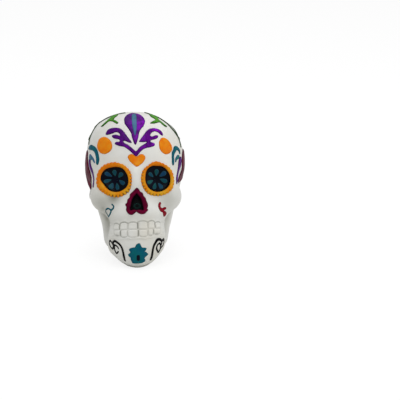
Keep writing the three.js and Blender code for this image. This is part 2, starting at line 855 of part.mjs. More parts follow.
// Left and right are as seen from the front
for (const [name, frame] of Object.entries(eyes)) {
  const side = name === "left" ? -1 : 1;
  const across = (tables) => tables.map((rows) => mirrored(rows, side));
  add(`${name}_eye_cup`, eyeCup(frame), navy);
  add(`${name}_eye_ring`, eyeRing(frame), marigold);
  for (let index = 0; index < petalCount; index++) {
    add(`${name}_eye_petal_${index + 1}`, eyePetal(frame, index), petalBlue);
  }
  add(`${name}_dot`, dot(side), orange);
  const ribbon = { height: ribbonHeight, place: faceShare };
  const beside = { height: ribbonHeight, place: sideShare(side) };
  const above = { height: ribbonHeight, place: domeShare };
  add(
    `${name}_temple_hook`,
    stroke({ ...ribbon, rows: mirrored(hookShares, side), width: hookWidth }),
    teal,
  );
  add(
    `${name}_temple_leaflet`,
    stroke({ ...beside, rows: leafletShares, width: hookWidth }),
    slateBlue,
  );
  add(
    `${name}_temple_stripe`,
    stroke({ ...beside, rows: sideStripeShares, width: sideStripeWidth }),
    purple,
  );
  add(`${name}_temple_leaf`, leaf(side), maroon);
  add(
    `${name}_crown_branch`,
    join(strokes(across(branchShares), { ...above, width: branchWidth })),
    green,
  );
  add(
    `${name}_crown_vine`,
    join(strokes(across(vineShares), { ...above, width: vineWidth })),
    green,
  );
  const line = { width: jawLineWidth, height: lineHeight, place: faceShare };
  add(`${name}_jaw_scroll`, join(strokes(across(jawScrollShares), line)), black);
}

export default sculpture;
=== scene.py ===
import json
import math

import bpy
import numpy as np
from mathutils import Matrix


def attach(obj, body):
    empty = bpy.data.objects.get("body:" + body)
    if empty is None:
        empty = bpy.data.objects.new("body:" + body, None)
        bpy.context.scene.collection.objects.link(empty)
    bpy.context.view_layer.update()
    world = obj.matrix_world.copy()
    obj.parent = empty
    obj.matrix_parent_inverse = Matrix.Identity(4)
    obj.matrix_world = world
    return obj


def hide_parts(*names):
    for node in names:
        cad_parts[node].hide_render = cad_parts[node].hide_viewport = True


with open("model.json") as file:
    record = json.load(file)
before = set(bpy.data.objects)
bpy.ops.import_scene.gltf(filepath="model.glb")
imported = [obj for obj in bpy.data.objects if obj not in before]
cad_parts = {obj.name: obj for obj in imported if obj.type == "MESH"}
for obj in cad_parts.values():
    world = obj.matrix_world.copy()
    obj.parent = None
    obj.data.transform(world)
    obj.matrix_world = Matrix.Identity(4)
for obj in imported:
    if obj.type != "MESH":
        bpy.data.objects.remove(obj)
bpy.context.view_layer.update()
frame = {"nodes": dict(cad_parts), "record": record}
mm = 0.001  # shapes are worked out in millimetres and made in metres
slots = {part["node"]: part["material_slot"] for part in frame["record"]["subparts"]}
bothSides = {"left": -1, "right": 1}
print("frame loaded:", len(frame["nodes"]), "pieces")

# The form of the skull, upright, before it leans back on its base
skull = {
    "width": 76.5,
    "depth": 98,
    "height": 125,  # chin to crown along the face
    "baseCut": 8,
    "leanBack": 15,  # degrees
    "baseMiddle": 0.2,  # of half the depth
    "domeMiddle": (0, 0.16, 0.66),
    "columns": 520,
    "domeRows": 120,
    "wallRows": 190,
    "baseRows": 6,
    "faceBias": 0.42,  # crowds the columns towards the face
    # The cast is a little lopsided: share of the height, millimetres to the right
    "leans": [(0.03, 0), (0.11, -0.6), (0.3, 0.5), (0.5, 0), (0.6, 0), (0.75, 0.6), (0.95, -1)],
    # A hand-pressed mould leaves the skin uneven: height and length of the waves, seed
    "waves": [(0.14, 26, 4), (0.042, 9, 9)],
}
halfWidth, halfDepth, height = skull["width"] / 2, skull["depth"] / 2, skull["height"]
half = np.array([halfWidth, halfDepth, height])

# Place, radii, roundness, blend: shares of half the width, half the depth and the height. What
# stands off the middle is there on both sides
bones = {
    "braincase": ((0, 0.28, 0.655), (1, 0.81, 0.335), 2.25, 0.16),
    "crown": ((0, 0.14, 0.708), (0.99, 0.6, 0.29), 2.7, 0.2),
    "forehead": ((0, -0.12, 0.668), (0.88, 0.58, 0.315), 2.2, 0.26),
    "eyeRegion": ((0, -0.28, 0.54), (0.88, 0.46, 0.15), 2.6, 0.2),
    "noseBones": ((0, -0.54, 0.55), (0.17, 0.24, 0.11), 2, 0.2),
    "upperJaw": ((0, -0.38, 0.375), (0.63, 0.44, 0.125), 2.5, 0.2),
    "toothBand": ((0, -0.37, 0.25), (0.58, 0.43, 0.085), 2.7, 0.13),
    "lowerJaw": ((0, -0.34, 0.167), (0.6, 0.45, 0.108), 2.3, 0.16),
    "chin": ((0, -0.4, 0.104), (0.33, 0.36, 0.105), 2, 0.16),
    "chinPad": ((0, -0.58, 0.086), (0.23, 0.2, 0.06), 2, 0.13),
    "nape": ((0, 0.3, 0.29), (0.57, 0.6, 0.25), 2.3, 0.26),
    "jawFloor": ((0, -0.1, 0.16), (0.38, 0.6, 0.12), 2.3, 0.16),
    "cheekbones": ((0.6, -0.38, 0.453), (0.335, 0.28, 0.094), 2, 0.2),
}
bars = {  # from, to, radius, blend
    "cheekArch": ((0.76, -0.3, 0.448), (0.86, 0.22, 0.475), 0.118, 0.13),
    "jawEdge": ((0.22, -0.46, 0.105), (0.44, 0.1, 0.205), 0.185, 0.16),
    "jawBranch": ((0.49, 0.06, 0.195), (0.65, 0.1, 0.385), 0.155, 0.13),
}
hollows = {
    "jawGroove": ((0.74, -0.27, 0.4), (0.6, -0.35, 0.25), 0.055, 0.16),
    "temple": ((1.1, -0.26, 0.56), (1.12, 0.05, 0.53), 0.18, 0.2),
}
easing = 0.34  # share of a bone's radius, so that no flat line shows on it


def boneDistance(p, at, radii, roundness):
    radii = np.array(radii) * half
    squares = ((p - np.array(at) * half) / radii) ** 2 + easing**2
    full = (1 + easing**2) ** (roundness / 2) - easing**roundness
    powers = (squares ** (roundness / 2) - easing**roundness) / full
    spread = np.maximum(powers.sum(1), 1e-9) ** (1 / roundness)
    pull = np.sqrt(squares - easing**2) * squares ** (roundness / 2 - 1) / full / radii
    slope = np.linalg.norm(pull, axis=1) * spread ** (1 - roundness)
    return (spread - 1) / np.maximum(slope, 1e-4)


def barDistance(p, start, end, radius):
    start, along = np.array(start) * half, (np.array(end) - np.array(start)) * half
    share = np.clip((p - start) @ along / (along @ along), 0, 1)
    return np.linalg.norm(p - start - share[:, None] * along, axis=1) - radius * halfWidth


def softMin(a, b, blend):  # the less of two distances, rounded where they are nearly the same
    near = np.maximum(blend - np.abs(a - b), 0)
    return np.minimum(a, b) - near * near / (4 * blend)


def skinDistance(p):
    up, over = np.array(skull["leans"]).T
    p = np.stack([np.abs(p[:, 0] - np.interp(p[:, 2] / height, up, over)), p[:, 1], p[:, 2]], 1)
    distance = np.full(len(p), 1e3)
    for at, radii, roundness, blend in bones.values():
        distance = softMin(distance, boneDistance(p, at, radii, roundness), blend * halfWidth)
    for start, end, radius, blend in bars.values():
        distance = softMin(distance, barDistance(p, start, end, radius), blend * halfWidth)
    for start, end, radius, blend in hollows.values():
        distance = -softMin(-distance, barDistance(p, start, end, radius), blend * halfWidth)
    return distance


def skinNormal(p, step=0.5):
    axes = np.eye(3) * step
    n = np.stack([skinDistance(p + axis) - skinDistance(p - axis) for axis in axes], 1)
    return n / np.linalg.norm(n, axis=1, keepdims=True)


# The outermost skin on rays from inside. It steps inwards from far away until it is under the
# skin, and then closes in between the last two steps
def findSkin(inner, outward, reach=130.0, leastStep=0.5, stride=0.7, rounds=4):
    shape = np.broadcast_shapes(inner.shape, outward.shape)
    inner, outward = np.broadcast_to(inner, shape), np.broadcast_to(outward, shape)
    count = len(inner)
    outside, inside = np.full(count, reach), np.full(count, reach)
    far, near = np.ones(count), np.ones(count)
    going = np.arange(count)
    while len(going):
        distance = skinDistance(inner[going] + outward[going] * inside[going, None])
        stopped = distance <= 0
        near[going[stopped]] = distance[stopped]
        going, distance = going[~stopped], distance[~stopped]
        far[going] = distance
        outside[going] = inside[going]
        inside[going] -= np.maximum(leastStep, stride * distance)
        going = going[inside[going] > 0]
    for _ in range(rounds):
        middle = inside + (outside - inside) * near / (near - far)
        distance = skinDistance(inner + outward * middle[:, None])
        isIn = distance <= 0
        inside, near = np.where(isIn, middle, inside), np.where(isIn, distance, near)
        outside, far = np.where(isIn, outside, middle), np.where(isIn, far, distance)
    return inner + outward * middle[:, None]


lean = math.radians(skull["leanBack"])
setBack, setDown = skull["baseMiddle"] * halfDepth, skull["baseCut"]


def seat(p):  # from upright to standing on the base
    y = p[:, 1] * math.cos(lean) + p[:, 2] * math.sin(lean) - setBack
    z = -p[:, 1] * math.sin(lean) + p[:, 2] * math.cos(lean) - setDown
    return np.stack([p[:, 0], y, z], 1)


def unseat(p):
    y, z = p[:, 1] + setBack, p[:, 2] + setDown
    back = y * math.cos(lean) - z * math.sin(lean)
    up = y * math.sin(lean) + z * math.cos(lean)
    return np.stack([p[:, 0], back, up], 1)


def unseatDirection(p):
    return unseat(p) - unseat(np.zeros((1, 3)))


def heading(turn, climb):  # the direction at a turn from the front and a climb from level
    return np.stack([np.sin(turn) * np.cos(climb), -np.cos(turn) * np.cos(climb), np.sin(climb)], -1)


def smooth(low, high, x):
    t = np.clip((x - low) / (high - low), 0, 1)
    return t * t * (3 - 2 * t)


# Slow unevenness, mostly between -1 and 1 and the same on every run, of seven waves in all
# directions. size is about the length of a wave
def wobble(p, size, seed, waves=7, finest=1.5, coarsest=0.6, latest=6.3, most=4):
    rng = np.random.default_rng(seed)
    total = np.zeros(len(p))
    for _ in range(waves):
        direction = rng.normal(size=p.shape[1])
        direction /= np.linalg.norm(direction)
        along = p @ direction * (2 * math.pi / size) * rng.uniform(coarsest, finest)
        total += np.sin(along + rng.uniform(0, latest))
    return total / most


def skinWaves(p):
    return sum(tall * wobble(p, length, seed) for tall, length, seed in skull["waves"])


# Where the photo was taken from. Shapes traced on the photo are laid on the skin from there
photo = {
    "azimuth": -1.4,
    "elevation": 13.6,
    "roll": -0.3,
    "lens": 180,
    "sensor": 36,
    "frame": 400,  # pixels across
    "mmPerPixel": 0.805,
    "skullPixel": (135.65, 185),  # where skullMiddle stands in the frame
    "skullMiddle": (0, 0, 58),
    "clip": (0.05, 50),  # metres
    "comeForward": 7,  # mm, so that a line on the head's outline shows in full
    "found": 0.1,  # mm from the skin, beyond which a ray has passed the head by
    "search": 60,  # mm before and behind the middle, where such a ray's nearest skin is looked for
}
focus = photo["lens"] / photo["sensor"] * photo["frame"]


def unit(v):
    return v / np.linalg.norm(v)


def cameraPlace():  # its place, and its directions to the right, up and back
    turn, climb, roll = (math.radians(photo[key]) for key in ("azimuth", "elevation", "roll"))
    away, right = heading(turn, climb), np.array([math.cos(turn), math.sin(turn), 0])
    middle = np.array(photo["skullMiddle"], float)
    place = middle + away * photo["mmPerPixel"] * focus
    offX, offY = (photo["skullPixel"][i] - photo["frame"] / 2 for i in (0, 1))
    aim = middle + (-right * offX + np.cross(away, right) * offY) * photo["mmPerPixel"]
    back = unit(place - aim)
    level = unit(np.cross([0, 0, 1], back))
    above = np.cross(back, level)
    return (
        place,
        math.cos(roll) * level + math.sin(roll) * above,
        math.cos(roll) * above - math.sin(roll) * level,
        back,
    )


cameraAt, cameraRight, cameraUp, cameraBack = cameraPlace()


def toPicture(p):  # pixels across and down
    q = seat(p) - cameraAt
    far = -(q @ cameraBack)
    middle = photo["frame"] / 2
    return np.stack([middle + q @ cameraRight / far * focus, middle - q @ cameraUp / far * focus], 1)


def rayOf(pixels):
    x, y = (pixels - photo["frame"] / 2).T / focus
    return x[:, None] * cameraRight - y[:, None] * cameraUp - cameraBack


def alongRays(pixels):
    rays = rayOf(pixels)
    reach = (cameraAt - np.array(photo["skullMiddle"])) @ cameraBack
    inner = cameraAt + rays * reach
    outward = -rays / np.linalg.norm(rays, axis=1, keepdims=True)
    return findSkin(unseat(inner), unseatDirection(outward))


def fromPicture(pixels):  # a pixel beside the head gives the skin that its ray passes closest to
    skin = alongRays(pixels)
    missed = np.abs(skinDistance(skin)) > photo["found"]
    if missed.any():
        rays = rayOf(pixels[missed])[:, None]
        around = np.linspace(-photo["search"], photo["search"], 2 * photo["search"] + 1)
        depths = (cameraAt - np.array(photo["skullMiddle"])) @ cameraBack + around
        passing = unseat((cameraAt + rays * depths[None, :, None]).reshape(-1, 3))
        closest = skinDistance(passing).reshape(-1, len(depths)).argmin(1)
        near = passing.reshape(-1, len(depths), 3)[np.arange(len(closest)), closest]
        near += unseatDirection(cameraBack[None]) * photo["comeForward"]
        for _ in range(3):  # steps that bring the point on to the skin
            near -= skinNormal(near) * skinDistance(near)[:, None]
        skin[missed] = near
    return skin


sheets = {  # enlargements that shapes were traced on: left and top pixel, steps to a pixel
    "whole": (75, 100, 8.71),
    "forehead": (98, 108, 20.63),
    "leftTemple": (82, 140, 30.17),
    "rightTemple": (162, 138, 29.04),
    "middle": (96, 164, 19.12),
    "eyes": (93, 157, 18.23),
    "cheeks": (102, 196, 22.4),
    "mouth": (106, 214, 25.29),
    "chin": (104, 234, 23.76),
}


def facing(p):  # 1 where the skin faces the camera, 0 on the head's outline
    return skinNormal(p) @ unseatDirection(cameraBack[None])[0]


def catmull(points, pieces, closed=False):
    points = np.array(points, float)
    if closed:
        padded = np.concatenate([points[-1:], points, points[:2]])
    else:
        padded = np.concatenate([2 * points[:1] - points[1:2], points, 2 * points[-1:] - points[-2:-1]])
    t = np.arange(pieces)[:, None] / pieces
    spans = []
    for i in range(len(points) if closed else len(points) - 1):
        a, b, c, d = padded[i : i + 4]
        bend = (2 * a - 5 * b + 4 * c - d) * t**2 + (3 * b - a - 3 * c + d) * t**3
        spans.append(0.5 * (2 * b + (c - a) * t + bend))
    return np.concatenate(spans + ([] if closed else [points[-1:]]))


def traced(sheet, points):  # pixels, with any third number of a row as a width in pixels
    left, top, step = sheets[sheet]
    points = np.array(points, float) / step
    points[:, :2] += (left, top)
    return points


def outlineOf(sheet, points, pieces=4):
    return catmull(traced(sheet, points), pieces, closed=True)


def polygonDepth(q, outline):  # distance inside a closed outline
    start, end = outline, np.roll(outline, -1, 0)
    along = end - start
    share = np.clip(((q[:, None] - start) * along).sum(2) / (along**2).sum(1), 0, 1)
    gap = np.linalg.norm(q[:, None] - start - share[..., None] * along, axis=2).min(1)
    rises = (start[:, 1] > q[:, None, 1]) != (end[:, 1] > q[:, None, 1])
    with np.errstate(divide="ignore", invalid="ignore"):
        crossing = start[:, 0] + (q[:, None, 1] - start[:, 1]) * along[:, 0] / along[:, 1]
    inside = (rises & (q[:, None, 0] < crossing)).sum(1) % 2 == 1
    return np.where(inside, gap, -gap)


def strokeDepth(p, line, widths):  # distance inside a rounded stroke
    start, along = line[:-1], line[1:] - line[:-1]
    share = np.clip(((p[:, None] - start) * along).sum(2) / (along**2).sum(1), 0, 1)
    gap = np.linalg.norm(p[:, None] - start - share[..., None] * along, axis=2)
    return ((widths[:-1] + share * (widths[1:] - widths[:-1])) / 2 - gap).max(1)


def makePiece(name, points, faces, values, material, node):
    mesh = bpy.data.meshes.new(name)
    mesh.from_pydata((points * mm).tolist(), [], faces)
    for key, numbers in values.items():
        attribute = mesh.attributes.new(key, "FLOAT", "POINT")
        attribute.data.foreach_set("value", np.asarray(numbers, np.float32))
    mesh.polygons.foreach_set("use_smooth", [True] * len(mesh.polygons))
    mesh.validate()
    mesh.materials.append(material)
    piece = bpy.data.objects.new(name, mesh)
    bpy.context.scene.collection.objects.link(piece)
    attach(piece, "root")
    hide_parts(node)
    return piece


def ringFaces(rows, columns):  # between closed rings of points, one after another
    index = np.arange(rows * columns).reshape(rows, columns)
    after = np.roll(index, -1, 1)
    return np.stack([index[:-1], index[1:], after[1:], after[:-1]], -1).reshape(-1, 4).tolist()


def linear(hexColour):
    parts = [int(hexColour[i : i + 2], 16) / 255 for i in (1, 3, 5)]
    return [c / 12.92 if c <= 0.04045 else ((c + 0.055) / 1.055) ** 2.4 for c in parts] + [1]


# A setting is an attribute of the node or the value of a socket, with a colour as hex. A link
# is named for its socket, i0 being the first, and comes from a socket or a node's first output
def addNode(tree, kind, settings={}, **links):
    node = tree.nodes.new("ShaderNode" + kind)
    for key, value in settings.items():
        if isinstance(key, str) and hasattr(node, key):
            setattr(node, key, value)
        else:
            node.inputs[key].default_value = linear(value) if isinstance(value, str) else value
    for key, source in links.items():
        socket = int(key[1:]) if key[0] == "i" and key[1:].isdigit() else key.replace("_", " ")
        tree.links.new(getattr(source, "outputs", [source])[0], node.inputs[socket])
    return node


def startMaterial(name):
    material = bpy.data.materials.new(name)
    material.use_nodes = True
    material.node_tree.nodes.clear()
    return material, material.node_tree


def perMetre(size):  # the scale of a pattern whose grain is this many millimetres
    return 1 / (size * mm)


def fromTo(*ends):  # settings of a range: from its low and high, to its low and high
    return dict(enumerate(ends, 1))


mixing = {"data_type": "RGBA"}  # with colours in sockets 6 and 7, and the mix in output 2

# Painted shade in spots on the face, below the cheekbones, down the groove beside the mouth and beside the
# lower teeth, and a painted shadow under the left eye ring: place and radius in pixels, strength
shadeSpots = [
    (101, 203, 10, 0.5),  # below the left cheekbone
    (171, 197, 10, 0.38),  # below the right one
    (103, 209, 2.6, 0.3),  # down the groove beside the left corner of the mouth
    (105.5, 214, 2.4, 0.4),
    (107.2, 219, 2.2, 0.5),
    (109, 224, 2.2, 0.2),
    (114, 197.5, 6, 0.75),  # under the left eye ring
    (117.5, 235, 1.6, 0.35),  # beside the outermost lower teeth
    (156.3, 233.5, 1.6, 0.35),
]
# Painted shade: grey where the form hides the sky, a painted shadow along the foot, and the spots above on
# the front of the face
shadePainting = {
    "share": 1.15,  # of the sky that the form itself hides
    "reaches": (3, 7, 14),  # millimetres, from near by to farther off
    "footShadowHeight": 3.5,
    "footShadowStrength": 0.55,
    "frontEnd": 10,  # the painted shade spots fade from frontFull back to frontEnd,
    "frontFull": -12,
    "turned": 0.35,  # and where the skin turns away more than this
}

# Cast plaster-resin under two coats of brushed off-white enamel: a soft sheen, faint brush
# marks about a millimetre wide, and grey painted shade in the hollows, at the foot and round the teeth
glaze = {
    "white": "#eeeeea",
    "shade": "#e4e3dc",
    "shadeSize": 22,
    "shadeRange": (0.35, 0.7),
    "warm": "#ece6d6",
    "warmSize": 35,
    "warmRange": (0.5, 0.75, 0, 0.6),
    # the two greys below are painted shade, one in the hollows and along the foot, one in the creases round
    # the teeth
    "hollowShade": "#97978a",
    "creaseShade": "#84847a",
    "roughSize": 6,
    "roughness": (0.3, 0.7, 0.31, 0.46),
    "brushWidth": 1.1,
    "brushStretch": (1, 1, 0.22),
    "orangePeel": 0.35,
    "peelShare": 0.25,
    "bump": 0.16,
    "bumpHeight": 0.25,
    "sheen": {"Specular IOR Level": 0.4, "Coat Weight": 0.15, "Coat Roughness": 0.2},
}


def skullGlaze():
    material, tree = startMaterial("brushed_enamel_on_cast_resin")
    place = addNode(tree, "TexCoord").outputs["Object"]
    shades = addNode(tree, "TexNoise", {"Scale": perMetre(glaze["shadeSize"]), "Detail": 3}, Vector=place)
    shaded = addNode(tree, "MapRange", fromTo(*glaze["shadeRange"]), Value=shades)
    mix = addNode(tree, "Mix", mixing | {6: glaze["white"], 7: glaze["shade"]}, i0=shaded)
    warmth = addNode(tree, "TexNoise", {"Scale": perMetre(glaze["warmSize"]), "Detail": 2}, Vector=place)
    warmed = addNode(tree, "MapRange", fromTo(*glaze["warmRange"]), Value=warmth)
    mix = addNode(tree, "Mix", mixing | {7: glaze["warm"]}, i0=warmed, i6=mix.outputs[2])
    # painted shade, laid over the enamel from the skin's attributes
    for key in ("hollowShade", "creaseShade"):
        factor = addNode(tree, "Attribute", {"attribute_name": key}).outputs["Fac"]
        mix = addNode(tree, "Mix", mixing | {7: glaze[key]}, i0=factor, i6=mix.outputs[2])
    worn = addNode(tree, "TexNoise", {"Scale": perMetre(glaze["roughSize"]), "Detail": 4}, Vector=place)
    rough = addNode(tree, "MapRange", fromTo(*glaze["roughness"]), Value=worn)
    stretch = addNode(tree, "Mapping", {"Scale": glaze["brushStretch"]}, Vector=place)
    brush = addNode(tree, "TexNoise", {"Scale": perMetre(glaze["brushWidth"]), "Detail": 2}, Vector=stretch)
    peel = addNode(tree, "TexNoise", {"Scale": perMetre(glaze["orangePeel"]), "Detail": 1}, Vector=place)
    both = addNode(tree, "Math", {"operation": "MULTIPLY_ADD", 1: glaze["peelShare"]}, i0=peel, i2=brush)
    depth = {"Strength": glaze["bump"], "Distance": glaze["bumpHeight"] * mm}
    bump = addNode(tree, "Bump", depth, Height=both)
    enamelled = addNode(
        tree, "BsdfPrincipled", glaze["sheen"], Base_Color=mix.outputs[2], Roughness=rough, Normal=bump
    )
    addNode(tree, "OutputMaterial", Surface=enamelled)
    return material


# Enamel paints laid thick by hand, so that they stand proud, round over at their edges and
# shine. body is the flat colour, streak what the bristles leave in bands, pool where the paint
# lies thicker, rim the darker line at the edge, rimWidth how far it reaches in millimetres,
# shine the strength of its highlights and banding that of its bands
paints = {
    "orange_paint": {"body": "#ee8208", "streak": "#e26e06", "pool": "#ea931a", "rim": "#b8650a"},
    # its rim colour shows only in the eye rings' grooves, as painted shade
    "marigold_paint": {
        "body": "#e08e10", "streak": "#d87408", "pool": "#d8a424", "rim": "#5f380c", "rimWidth": 0.9,
    },
    "purple_paint": {
        "body": "#6c0290", "streak": "#48046c", "pool": "#a414dc", "rim": "#26023e", "rimWidth": 0.8,
    },
    "slate_paint": {"body": "#50709a", "streak": "#22706e", "pool": "#4c7a9a", "rim": "#3c3a78"},
    "teal_paint": {"body": "#045f70", "streak": "#064e66", "pool": "#046468", "rim": "#063a44"},
    "petal_paint": {"body": "#0c4a48", "streak": "#123e62", "pool": "#1a5e5a", "rim": "#28565c"},
    "maroon_paint": {
        "body": "#5e0026", "streak": "#480220", "pool": "#6e042e", "rim": "#26041a", "rimWidth": 0.8,
        "shine": 0.03,
    },
    "green_paint": {
        "body": "#408a1a", "streak": "#263c1c", "pool": "#56a02a", "rim": "#1e3a0f", "rimWidth": 0.7,
    },
    "scarlet_paint": {"body": "#8c041e", "streak": "#6e0216", "pool": "#9a0422", "rim": "#5a0412"},
    "navy_paint": {"body": "#030614", "streak": "#02040c", "pool": "#050a1e", "rim": "#020308"},
    "black_paint": {
        "body": "#050507", "streak": "#12322f", "pool": "#060708", "rim": "#030303", "banding": 0,
    },
}
enamel = {
    "bandWidth": 1.6,
    "bandStretch": (1, 0.6, 0.3),
    "bandRange": (0.36, 0.64, 0),
    "poolSize": 7,
    "poolRange": (0.45, 0.7),
    "tintCovers": 0.8,  # a tint as strong as this hides the pools
    "roughness": (0.3, 0.7, 0.3, 0.46),
    "bump": 0.25,
    "bumpHeight": 0.15,
    "coatShare": 0.5,  # of the shine
    "coatRoughness": 0.15,
}


def brushedEnamel(name, body, streak, pool, rim, rimWidth=0.5, shine=0.06, banding=0.7):
    material, tree = startMaterial(name.replace("paint", "brushed_enamel"))
    place = addNode(tree, "TexCoord").outputs["Object"]
    stretch = addNode(tree, "Mapping", {"Scale": enamel["bandStretch"]}, Vector=place)
    bands = addNode(tree, "TexNoise", {"Scale": perMetre(enamel["bandWidth"]), "Detail": 2}, Vector=stretch)
    banded = addNode(tree, "MapRange", fromTo(*enamel["bandRange"], banding), Value=bands)
    # the tint moves the paint towards its streak colour; across the forehead it is painted shade, darker on
    # the left
    tint = addNode(tree, "Attribute", {"attribute_name": "tint"}).outputs["Fac"]  # towards streak
    towards = addNode(tree, "Math", {"operation": "ADD", "use_clamp": True}, i0=banded, i1=tint)
    mix = addNode(tree, "Mix", mixing | {6: body, 7: streak}, i0=towards)
    pools = addNode(tree, "TexNoise", {"Scale": perMetre(enamel["poolSize"]), "Detail": 2}, Vector=place)
    pooled = addNode(tree, "MapRange", fromTo(*enamel["poolRange"]), Value=pools)
    bare = addNode(tree, "MapRange", fromTo(0, enamel["tintCovers"], 1, 0), Value=tint)
    pooled = addNode(tree, "Math", {"operation": "MULTIPLY"}, i0=pooled, i1=bare)
    mix = addNode(tree, "Mix", mixing | {7: pool}, i0=pooled, i6=mix.outputs[2])
    fromEdge = addNode(tree, "Attribute", {"attribute_name": "fromEdge"}).outputs["Fac"]
    rimmed = addNode(tree, "MapRange", fromTo(0, rimWidth, 1, 0), Value=fromEdge)
    mix = addNode(tree, "Mix", mixing | {7: rim}, i0=rimmed, i6=mix.outputs[2])
    rough = addNode(tree, "MapRange", fromTo(*enamel["roughness"]), Value=bands)
    depth = {"Strength": enamel["bump"], "Distance": enamel["bumpHeight"] * mm}
    bump = addNode(tree, "Bump", depth, Height=bands)
    sheen = {
        "Specular IOR Level": shine,
        "Coat Weight": shine * enamel["coatShare"],
        "Coat Roughness": enamel["coatRoughness"],
    }
    enamelled = addNode(
        tree, "BsdfPrincipled", sheen, Base_Color=mix.outputs[2], Roughness=rough, Normal=bump
    )
    addNode(tree, "OutputMaterial", Surface=enamelled)
    return material


glazeMaterial = skullGlaze()
paintMaterials = {name: brushedEnamel(name, **colours) for name, colours in paints.items()}
print("materials made:", len(paintMaterials) + 1)

# The eyes: each has its own outline, traced on the photo
eyeLook = {
    "x": 0.447,
    "z": 0.563,
    "turn": 0.22,  # of a right angle, outwards
    "wide": 1.07,
    "depth": 7.5,
    "front": 14,  # the socket cuts only skin that lies within this of the eye's middle
    "socketEdge": (0.9, -0.3),  # from the traced opening
    "dish": 3.4,
    "rimDown": 2.4,  # from the skin to the rim of the dish
    # Half turns: where the painted shade in the ring's grooves is darkest, and where its paint is warmest
    "left": {
        "ring": [
            (400, 88), (480, 106), (560, 137), (622, 185), (670, 238), (703, 312), (715, 400),
            (710, 480), (696, 560), (660, 638), (598, 688), (530, 722), (440, 743), (350, 733),
            (270, 708), (190, 663), (122, 612), (78, 558), (61, 490), (62, 400), (77, 320),
            (107, 247), (152, 183), (212, 133), (300, 102),
        ],
        "opening": [
            (135, 395), (150, 320), (190, 255), (250, 210), (330, 188), (420, 178), (500, 188),
            (560, 225), (600, 280), (632, 340), (650, 430), (640, 500), (600, 560), (540, 605),
            (470, 635), (400, 640), (330, 625), (270, 590), (220, 540), (180, 485), (145, 440),
        ],
        "grooveShadeSide": -0.25,
        "orange": 0.75,
    },
    "right": {
        "ring": [
            (1150, 75), (1230, 96), (1308, 131), (1378, 181), (1428, 241), (1462, 320),
            (1477, 410), (1474, 500), (1447, 588), (1398, 642), (1320, 687), (1220, 714),
            (1120, 716), (1042, 697), (978, 658), (928, 599), (889, 520), (869, 430), (872, 340),
            (898, 251), (942, 192), (1000, 150), (1065, 100),
        ],
        "opening": [
            (950, 400), (955, 320), (975, 250), (1010, 200), (1080, 160), (1160, 158), (1250, 165),
            (1320, 205), (1370, 260), (1405, 330), (1418, 410), (1405, 490), (1370, 550),
            (1310, 600), (1230, 632), (1150, 635), (1070, 610), (1010, 560), (975, 500), (955, 450),
        ],
        "grooveShadeSide": 1.2,
        "orange": 0.6,
    },
}
fullTurn = 2 * math.pi


def inEye(eye, p):  # radius, angle and depth of points as the eye sees them
    q = p - eye["middle"]
    a, b = q @ eye["across"] / eyeLook["wide"], q[:, 2]
    return np.hypot(a, b), np.arctan2(b, a), -(q @ eye["outward"])


def fromEye(eye, radius, angle, depth):
    a, b = radius * np.cos(angle) * eyeLook["wide"], radius * np.sin(angle)
    flat = eye["middle"] + a[:, None] * eye["across"] + b[:, None] * [0, 0, 1.0]
    return flat - depth[:, None] * eye["outward"]


def eyeSkin(eye, radius, angle):
    inner = fromEye(eye, radius, angle, np.full(len(radius), halfDepth / 2))
    return findSkin(inner, eye["outward"][None])


def edgeOf(eye, outline):  # the radius of a traced edge at any angle round the eye
    radius, angle, _ = inEye(eye, fromPicture(outline))
    order = np.argsort(angle)
    return lambda at: np.interp(at, angle[order], radius[order], period=fullTurn)


def makeEye(name, side):
    turn = side * eyeLook["turn"] * math.pi / 2
    x, z = side * eyeLook["x"] * halfWidth, eyeLook["z"] * height
    eye = {
        "middle": findSkin(np.array([[x, 0, z]]), np.array([[0, -1.0, 0]]))[0],
        "outward": np.array([math.sin(turn), -math.cos(turn), 0]),
        "across": np.array([math.cos(turn), math.sin(turn), 0]),
    }
    eye["outer"] = edgeOf(eye, outlineOf("eyes", eyeLook[name]["ring"]))
    eye["inner"] = edgeOf(eye, outlineOf("eyes", eyeLook[name]["opening"]))
    return eye


eyes = {name: makeEye(name, side) for name, side in bothSides.items()}

# The nose: a lobed rim and the opening inside it
nose = {
    "rim": [
        (775, 455), (820, 480), (840, 520), (890, 555), (910, 610), (945, 650), (965, 710),
        (990, 760), (990, 810), (975, 850), (995, 880), (960, 920), (930, 950), (870, 960),
        (810, 940), (775, 915), (740, 940), (700, 970), (640, 965), (600, 930), (575, 880),
        (580, 830), (560, 770), (590, 740), (600, 680), (640, 640), (650, 580), (690, 540),
        (730, 500),
    ],
    "opening": [
        (780, 560), (820, 610), (860, 660), (880, 720), (895, 790), (912, 860), (890, 885),
        (840, 870), (780, 880), (720, 870), (665, 885), (652, 850), (665, 780), (680, 700),
        (710, 640), (750, 590),
    ],
    "depth": 6,
    "edge": (-1.2, 0.2),  # in pixels, from the traced opening
    "near": 16,  # pixels from its middle, beyond which nothing is cut
    "rimLook": {"height": 1.3, "edge": 1.5, "uneven": 0.06, "spacing": 0.26, "spreads": 0.15},
    # The lining: shares of the opening that it is drawn at, how it goes down, and its faint ring
    "wallShares": (1.09, 1.03, 1.0, 0.97, 0.94, 0.9, 0.84),
    "floorShares": (0.78, 0.03, 14),
    "goesDown": (1.04, 0.86),
    "underSkin": 0.25,
    "overFloor": 1.5,
    "middleAt": 5,  # millimetres from the edge that its middle counts as, for the darker rim
    "ringAt": (790, 800),
    "ringSize": (55, 42),
    "ringWidth": 0.3,  # share of its radius
}
noseRimOutline = outlineOf("middle", nose["rim"])
noseOpening = outlineOf("middle", nose["opening"])
noseMiddle = noseOpening.mean(0)

